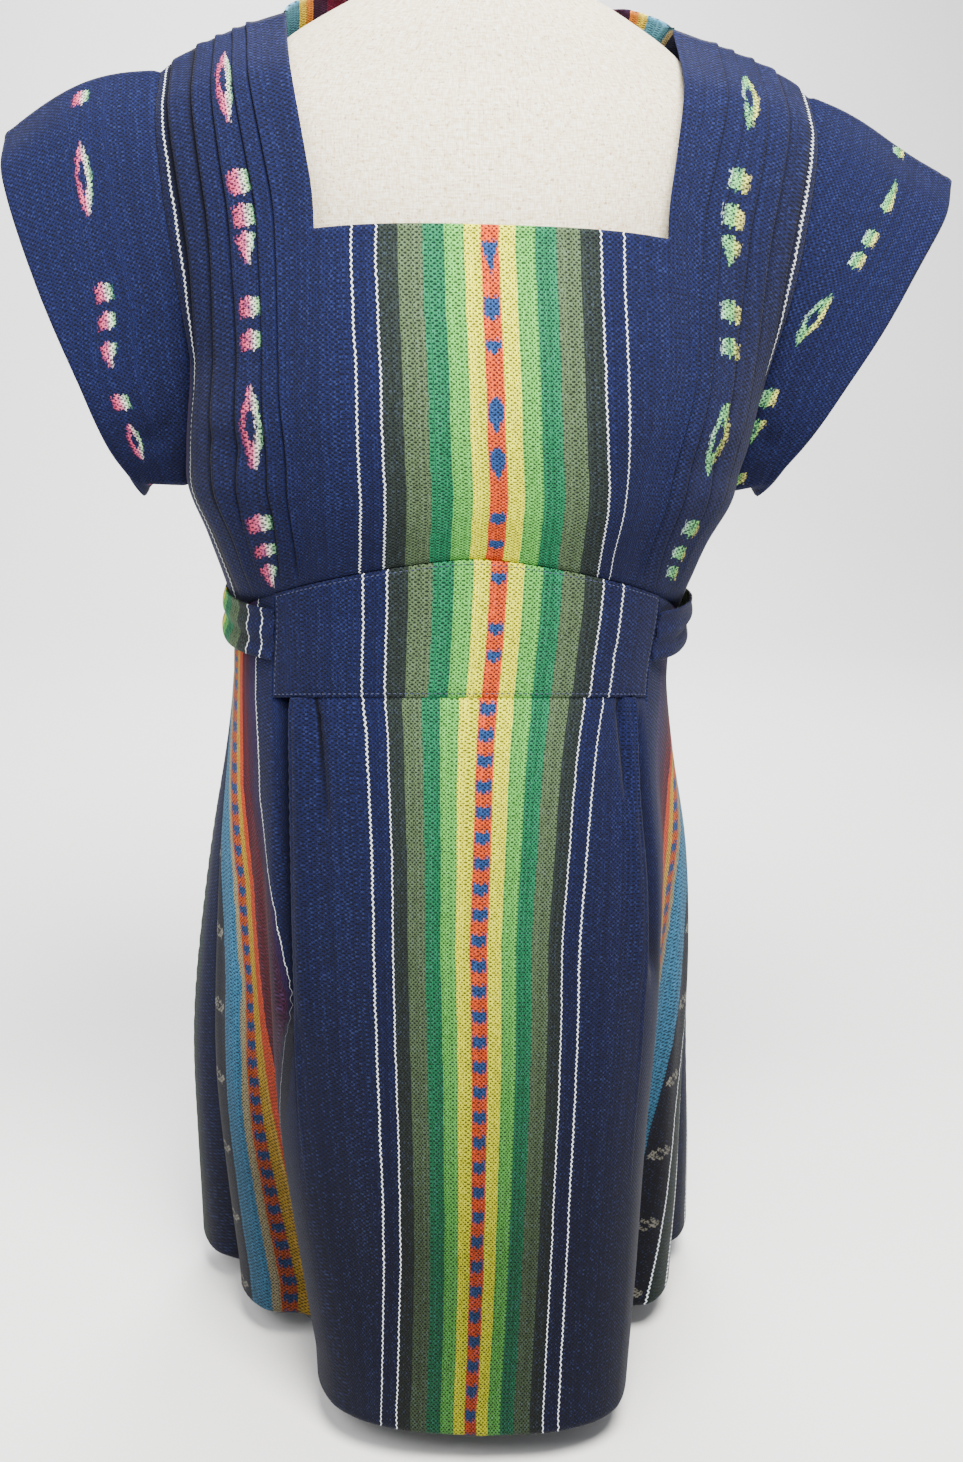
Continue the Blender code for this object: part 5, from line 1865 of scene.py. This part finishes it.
    def tie_knot(self, material: bpy.types.Material) -> None:
        """Tie the knot: a soft lump wrapped by the sash.

        Args:
            material: Its finish.
        """
        solid = bmesh.new()
        bmesh.ops.create_uvsphere(solid, u_segments=64, v_segments=40, radius=1.0)
        layer = solid.loops.layers.uv.new("cloth")
        half_x, half_y, half_z = self.knot
        y = WORN.skirt_rows[0][3] + CLOTH + self.knot_lift + half_y
        for face in solid.faces:
            for loop in face.loops:
                loop[layer].uv = (loop.vert.co.x * 0.02 - 0.05, loop.vert.co.z * 0.02)
        for vert in solid.verts:
            x, depth, z = (math.copysign(abs(value) ** 0.72, value) for value in vert.co)
            wrap = math.cos(9.0 * (z + 0.35 * x)) * max(0.0, 1 - abs(z) ** 3)
            pinch = 1 - 0.16 * max(0.0, 1 - abs(x)) ** 2
            swell = 1 + 0.05 * wrap if depth > 0 else 1.0
            vert.co.x = half_x * x * (0.98 + 0.02 * wrap)
            vert.co.y = y + half_y * depth * swell * 0.97
            vert.co.z = self.height + half_z * z * pinch * 0.98
        make_piece("tie_knot_cloth", solid, material, "sash_cloth", "tie_knot")


@dataclass
class Stitching:
    """Rows of small stitches along the band's edges."""

    length: float = 0.0026
    step: float = 0.0037
    radius: float = 0.00036
    inset: float = 0.0024

    def build(self, panel: ClothPanel, material: bpy.types.Material) -> None:
        """Sew round the band.

        Args:
            panel: The band.
            material: The thread's finish.
        """
        outer = panel.points()
        rim = panel.edges[..., 0]
        middle_row, middle = rim.shape[0] // 2, rim.shape[1] // 2
        solid = bmesh.new()
        upper = int(np.argmin(np.abs(rim[:middle_row, middle] - self.inset)))
        side = int(np.argmin(np.abs(rim[middle_row, :middle] - self.inset)))
        for line in (outer[upper], outer[-1 - upper], outer[:, side], outer[:, -1 - side]):
            self.sew(solid, line)
        make_piece("front_band_stitches", solid, material, "band_cloth")

    def sew(self, solid: bmesh.types.BMesh, line: np.ndarray) -> None:
        """Put stitches along a line.

        Args:
            solid: The bmesh that takes them.
            line: Points of the line.
        """
        along = distances(line[None], 1)[0][0]
        size = Matrix.Diagonal((self.radius, self.radius, self.length / 2, 1.0))
        for place in np.arange(self.step, along[-1] - self.step, self.step):
            spot, ahead = (
                Vector([np.interp(at, along, line[:, axis]) for axis in range(3)])
                for at in (place, place + 0.001)
            )
            turn = (ahead - spot).to_track_quat("Z", "Y").to_matrix().to_4x4()
            where = Matrix.Translation(spot) @ turn @ size
            bmesh.ops.create_icosphere(solid, subdivisions=1, radius=1.0, matrix=where)


@dataclass
class DressForm:
    """The limbless form's linen cover with its seams."""

    sides: int = 144
    steps: int = 150
    round_by: float = 0.86
    seam_depth: float = 0.0007
    # quarter turns round from the front
    seams: tuple = (1.0, 3.0, 0.62, 3.38, 2.0)

    def torso(self, material: bpy.types.Material) -> None:
        """Make the covered torso.

        Args:
            material: The linen.
        """
        solid = bmesh.new()
        bmesh.ops.create_grid(solid, x_segments=self.sides, y_segments=self.steps, size=0.5)
        layer = solid.loops.layers.uv.new("cloth")
        top, low = FORM.rows[0][0], FORM.rows[-1][0]
        for face in solid.faces:
            for loop in face.loops:
                spot = loop.vert.co
                loop[layer].uv = ((spot.x + 0.5) * self.round_by, (spot.y + 0.5) * (top - low))
        spots = np.array([vert.co[:2] for vert in solid.verts]) + 0.5
        turn = 2 * math.pi * spots[:, 0]
        z = mix(top, low, spots[:, 1])
        power = 2 / FORM.round_power
        across = np.copysign(np.abs(np.sin(turn)) ** power, np.sin(turn))
        out = np.copysign(np.abs(np.cos(turn)) ** power, np.cos(turn))
        depth = np.where(out > 0, curve(FORM.rows, z, 2), curve(FORM.rows, z, 3))
        gaps = (np.abs(turn - seam * math.pi / 2) * 0.13 for seam in self.seams)
        shrink = 1 - self.seam_depth * sum(dip(gap, 0.0014) for gap in gaps) / 0.12
        places = np.stack([curve(FORM.rows, z, 1) * across * shrink, -depth * out * shrink, z], -1)
        for vert, place in zip(solid.verts, places):
            vert.co = place
        bmesh.ops.remove_doubles(solid, verts=solid.verts[:], dist=0.00002)
        rims = [edge for edge in solid.edges if edge.is_boundary]
        bmesh.ops.holes_fill(solid, edges=rims, sides=0)
        bmesh.ops.recalc_face_normals(solid, faces=solid.faces[:])
        make_piece("form_torso_linen", solid, material, "form_linen", "form_torso")


@dataclass(frozen=True)
class LinenFinish:
    """Flecked cream linen."""

    name: str = "form_linen"

    def make(self) -> bpy.types.Material:
        """Build the finish.

        Returns:
            The material.
        """
        graph = Graph(self.name)
        across, along = graph.uv("cloth")
        drift = graph.noise(graph.point(across * 0.05, along * 0.05)) - 0.5
        warp = ((across + drift * 2.0) / 0.8).wave()
        weft = ((along + drift * 2.0) / 0.8).wave()
        slub = graph.noise(graph.point(across * 0.95, along * 0.2), detail=3.0)
        slub_two = graph.noise(graph.point(across * 0.2, along * 0.95, 5.0), detail=3.0)
        spots = graph.noise(graph.point(across * 0.5, along * 0.4, 2.0))
        yarns = ((slub + slub_two) * 0.5 - 0.4) * 4.6
        colour = graph.blend(yarns, srgb(216, 196, 158), srgb(255, 250, 234))
        colour = graph.blend(spots.above(0.64, 0.04) * 0.6, colour, srgb(150, 116, 84))
        return graph.finish(
            graph.shade(colour, 1.0 - (1.0 - warp * weft) * 0.26),
            0.88 + (slub - 0.5) * 0.1,
            warp * 0.35 + weft * 0.35 + slub * 0.3,
            depth=0.0002,
            strength=0.5,
            Sheen_Weight=0.1,
            Specular_IOR_Level=0.25,
        )


@dataclass(frozen=True)
class ThreadFinish:
    """Matte sewing thread."""

    name: str = "sewing_thread"

    def make(self) -> bpy.types.Material:
        """Build the finish.

        Returns:
            The material.
        """
        graph = Graph(self.name)
        tone = graph.noise(graph.object_point(), 900.0)
        colour = graph.blend(tone, srgb(24, 30, 58), srgb(58, 66, 104))
        return graph.finish(colour, 0.7 + tone * 0.15, tone, depth=0.0001, Sheen_Weight=0.1)


@dataclass(frozen=True)
class WoodFinish:
    """Dark turned wood."""

    name: str = "form_cap"

    def make(self) -> bpy.types.Material:
        """Build the finish.

        Returns:
            The material.
        """
        graph = Graph(self.name)
        x, y, z = graph.split(graph.object_point())
        grain = graph.noise(graph.point(x * 22.0, y * 260.0, z * 260.0), detail=4.0)
        rings = (grain * 2.0 + y * 60.0).wave()
        colour = graph.blend(rings * 0.6 + grain * 0.3, srgb(58, 34, 20), srgb(108, 68, 40))
        return graph.finish(colour, 0.36 + grain * 0.16, grain, depth=0.00015, Coat_Weight=0.2)


@dataclass(frozen=True)
class SteelFinish:
    """Brushed steel."""

    name: str = "form_steel"

    def make(self) -> bpy.types.Material:
        """Build the finish.

        Returns:
            The material.
        """
        graph = Graph(self.name)
        source = graph.object_point()
        x, y, z = graph.split(source)
        reach = (x * x + y * y).math("SQRT")
        brush = graph.noise(graph.point(reach * 1500.0, z * 900.0))
        smear = graph.noise(source, 24.0, 3.0)
        colour = graph.blend(brush * 0.5 + smear * 0.3, srgb(150, 152, 156), srgb(196, 198, 202))
        rough = 0.3 + brush * 0.14 + smear * 0.08
        return graph.finish(colour, rough, brush, depth=0.00004, strength=0.4, Metallic=1.0)


@dataclass(frozen=True)
class FloorFinish:
    """A plain pale floor."""

    name: str = "pale_floor"

    def make(self) -> bpy.types.Material:
        """Build the finish.

        Returns:
            The material.
        """
        graph = Graph(self.name)
        tone = graph.noise(graph.object_point(), 3.0)
        colour = graph.blend(tone, srgb(246, 246, 246), srgb(251, 251, 251))
        return graph.finish(colour, 0.8 + tone * 0.1, Specular_IOR_Level=0.1)


@dataclass
class Studio:
    """The floor, the soft lights and the photo's camera."""

    picture: tuple = (963, 1462)
    focal: float = 1548.0
    shift: float = 20.0
    sensor: float = 24.0
    distance: float = 1.1
    azimuth: float = -6.0
    height: float = 0.768
    pitch: float = -15.9
    roll: float = 1.5
    sky: tuple = (0.93, 0.95, 1.0, 1.0)
    # name, place, width in metres, power in watts, tint and the place that it shines at
    lamps: tuple = (
        ("key_lamp", (0.12, -0.8, 1.88), 0.8, 98.0, (1.0, 0.975, 0.92), (0.0, 0.0, 0.7)),
        ("fill_lamp", (-1.0, -1.1, 1.8), 1.1, 26.0, (1.0, 0.99, 0.97), (0.0, 0.0, 0.7)),
        ("back_lamp", (0.5, 1.9, 1.9), 1.4, 42.0, (1.0, 1.0, 1.0), (0.0, 0.0, 0.7)),
        ("wash_lamp", (0.0, 1.6, 2.6), 1.6, 120.0, (1.0, 1.0, 1.0), (0.0, 3.2, 0.4)),
    )

    def floor(self) -> None:
        """Lay the floor and its curved backdrop."""
        solid = bmesh.new()
        bmesh.ops.create_grid(solid, x_segments=60, y_segments=60, size=4.0)
        for vert in solid.verts:
            vert.co.z = 0.9 * max(0.0, vert.co.y - 2.2) ** 2
        make_piece("floor", solid, FloorFinish().make())

    def lights(self) -> None:
        """Hang the soft lamps and set the pale surroundings."""
        for name, where, size, power, tint, at in self.lamps:
            lamp = bpy.data.lights.new(name, "AREA")
            lamp.shape = "DISK"
            lamp.size = size
            lamp.energy = power
            lamp.color = tint
            thing = bpy.data.objects.new(name, lamp)
            bpy.context.scene.collection.objects.link(thing)
            aim = Vector(at) - Vector(where)
            turn = aim.to_track_quat("-Z", "Y").to_matrix().to_4x4()
            thing.matrix_world = Matrix.Translation(where) @ turn
        world = bpy.data.worlds.new("studio")
        world.use_nodes = True
        sky = world.node_tree.nodes["Background"]
        sky.inputs[0].default_value = self.sky
        sky.inputs[1].default_value = 0.4
        bpy.context.scene.world = world

    def camera(self) -> None:
        """Place the camera at the photo's angle."""
        lens = bpy.data.cameras.new("camera")
        lens.sensor_fit = "VERTICAL"
        lens.sensor_height = self.sensor
        lens.lens = self.focal / self.picture[1] * self.sensor
        lens.shift_x = self.shift / self.picture[1]
        lens.clip_start = 0.01
        thing = bpy.data.objects.new("camera", lens)
        bpy.context.scene.collection.objects.link(thing)
        angle = math.radians(self.azimuth)
        where = (self.distance * math.sin(angle), -self.distance * math.cos(angle), self.height)
        turns = ((angle, "Z"), (math.radians(90 + self.pitch), "X"), (math.radians(self.roll), "Z"))
        first, second, third = (Matrix.Rotation(turn, 4, axis) for turn, axis in turns)
        thing.matrix_world = Matrix.Translation(where) @ first @ second @ third
        bpy.context.scene.camera = thing


@dataclass
class Dress:
    """The whole dress: its cut pieces with their finishes."""

    def bodice(self) -> None:
        """Sew the front and the back."""
        lanes = (
            Lane(-149.2, 7.0, LEFT_MOTIFS, PINK_LANE),
            Lane(155.5, 7.0, RIGHT_MOTIFS, GREEN_LANE),
        )
        centre = CENTRE_MOTIFS
        threads = (*THREADS, 192.0)
        cloth = ClothFinish("bodice_cloth", threads, centre=centre, lanes=lanes, paints_fold_shade=True)
        FrontBodice().panel().build(cloth.make())
        plain = ClothFinish("back_cloth", (192.0,), side_lane=False, stripes=BACK_STRIPES)
        BackBodice().panel().build(plain.make())

    def sleeves(self) -> None:
        """Sew both sleeves."""
        lanes = (
            Lane(-149.0, 6.6, LEFT_SLEEVE_MOTIFS, PINK_LANE),
            Lane(149.0, 6.6, RIGHT_SLEEVE_MOTIFS, GREEN_LANE),
        )
        cloth = ClothFinish("sleeve_cloth", (), lanes=lanes, side_lane=False, stripes=PLAIN_STRIPES)
        finish = cloth.make()
        for side in Side:
            Sleeve(side).panel().build(finish)

    def band(self) -> None:
        """Sew the band with its stitches."""
        panel = Band().panel()
        panel.build(ClothFinish("band_cloth", centre=BAND_MOTIFS).make())
        Stitching().build(panel, ThreadFinish().make())

    def skirt(self) -> None:
        """Sew both halves of the skirt."""
        sided = (-197.0, 319.0, 331.0)
        cloth = ClothFinish("skirt_cloth", sided=sided, rings=True, paints_fold_shade=True, painted_low_shade=0.7)
        finish = cloth.make()
        for half in Half:
            Skirt(half).panel().build(finish)

    def sash(self) -> None:
        """Tie the sash."""
        finish = ClothFinish("sash_cloth", side_lane=False).make()
        for panel in Sash().panels():
            panel.build(finish)
        Sash().tie_knot(finish)


def main() -> None:
    """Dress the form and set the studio."""
    logging.basicConfig(level=logging.INFO, format="%(name)s: %(message)s")
    dress = Dress()
    for sew in (dress.bodice, dress.sleeves, dress.band, dress.skirt, dress.sash):
        sew()
    DressForm().torso(LinenFinish().make())
    wood, steel = WoodFinish().make(), SteelFinish().make()
    for node, material in (("form_neck_cap", wood), ("form_pole", steel), ("form_base", steel)):
        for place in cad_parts[node].material_slots:
            place.material = material
    studio = Studio()
    studio.floor()
    studio.lights()
    studio.camera()


if __name__ == "__main__":
    main()
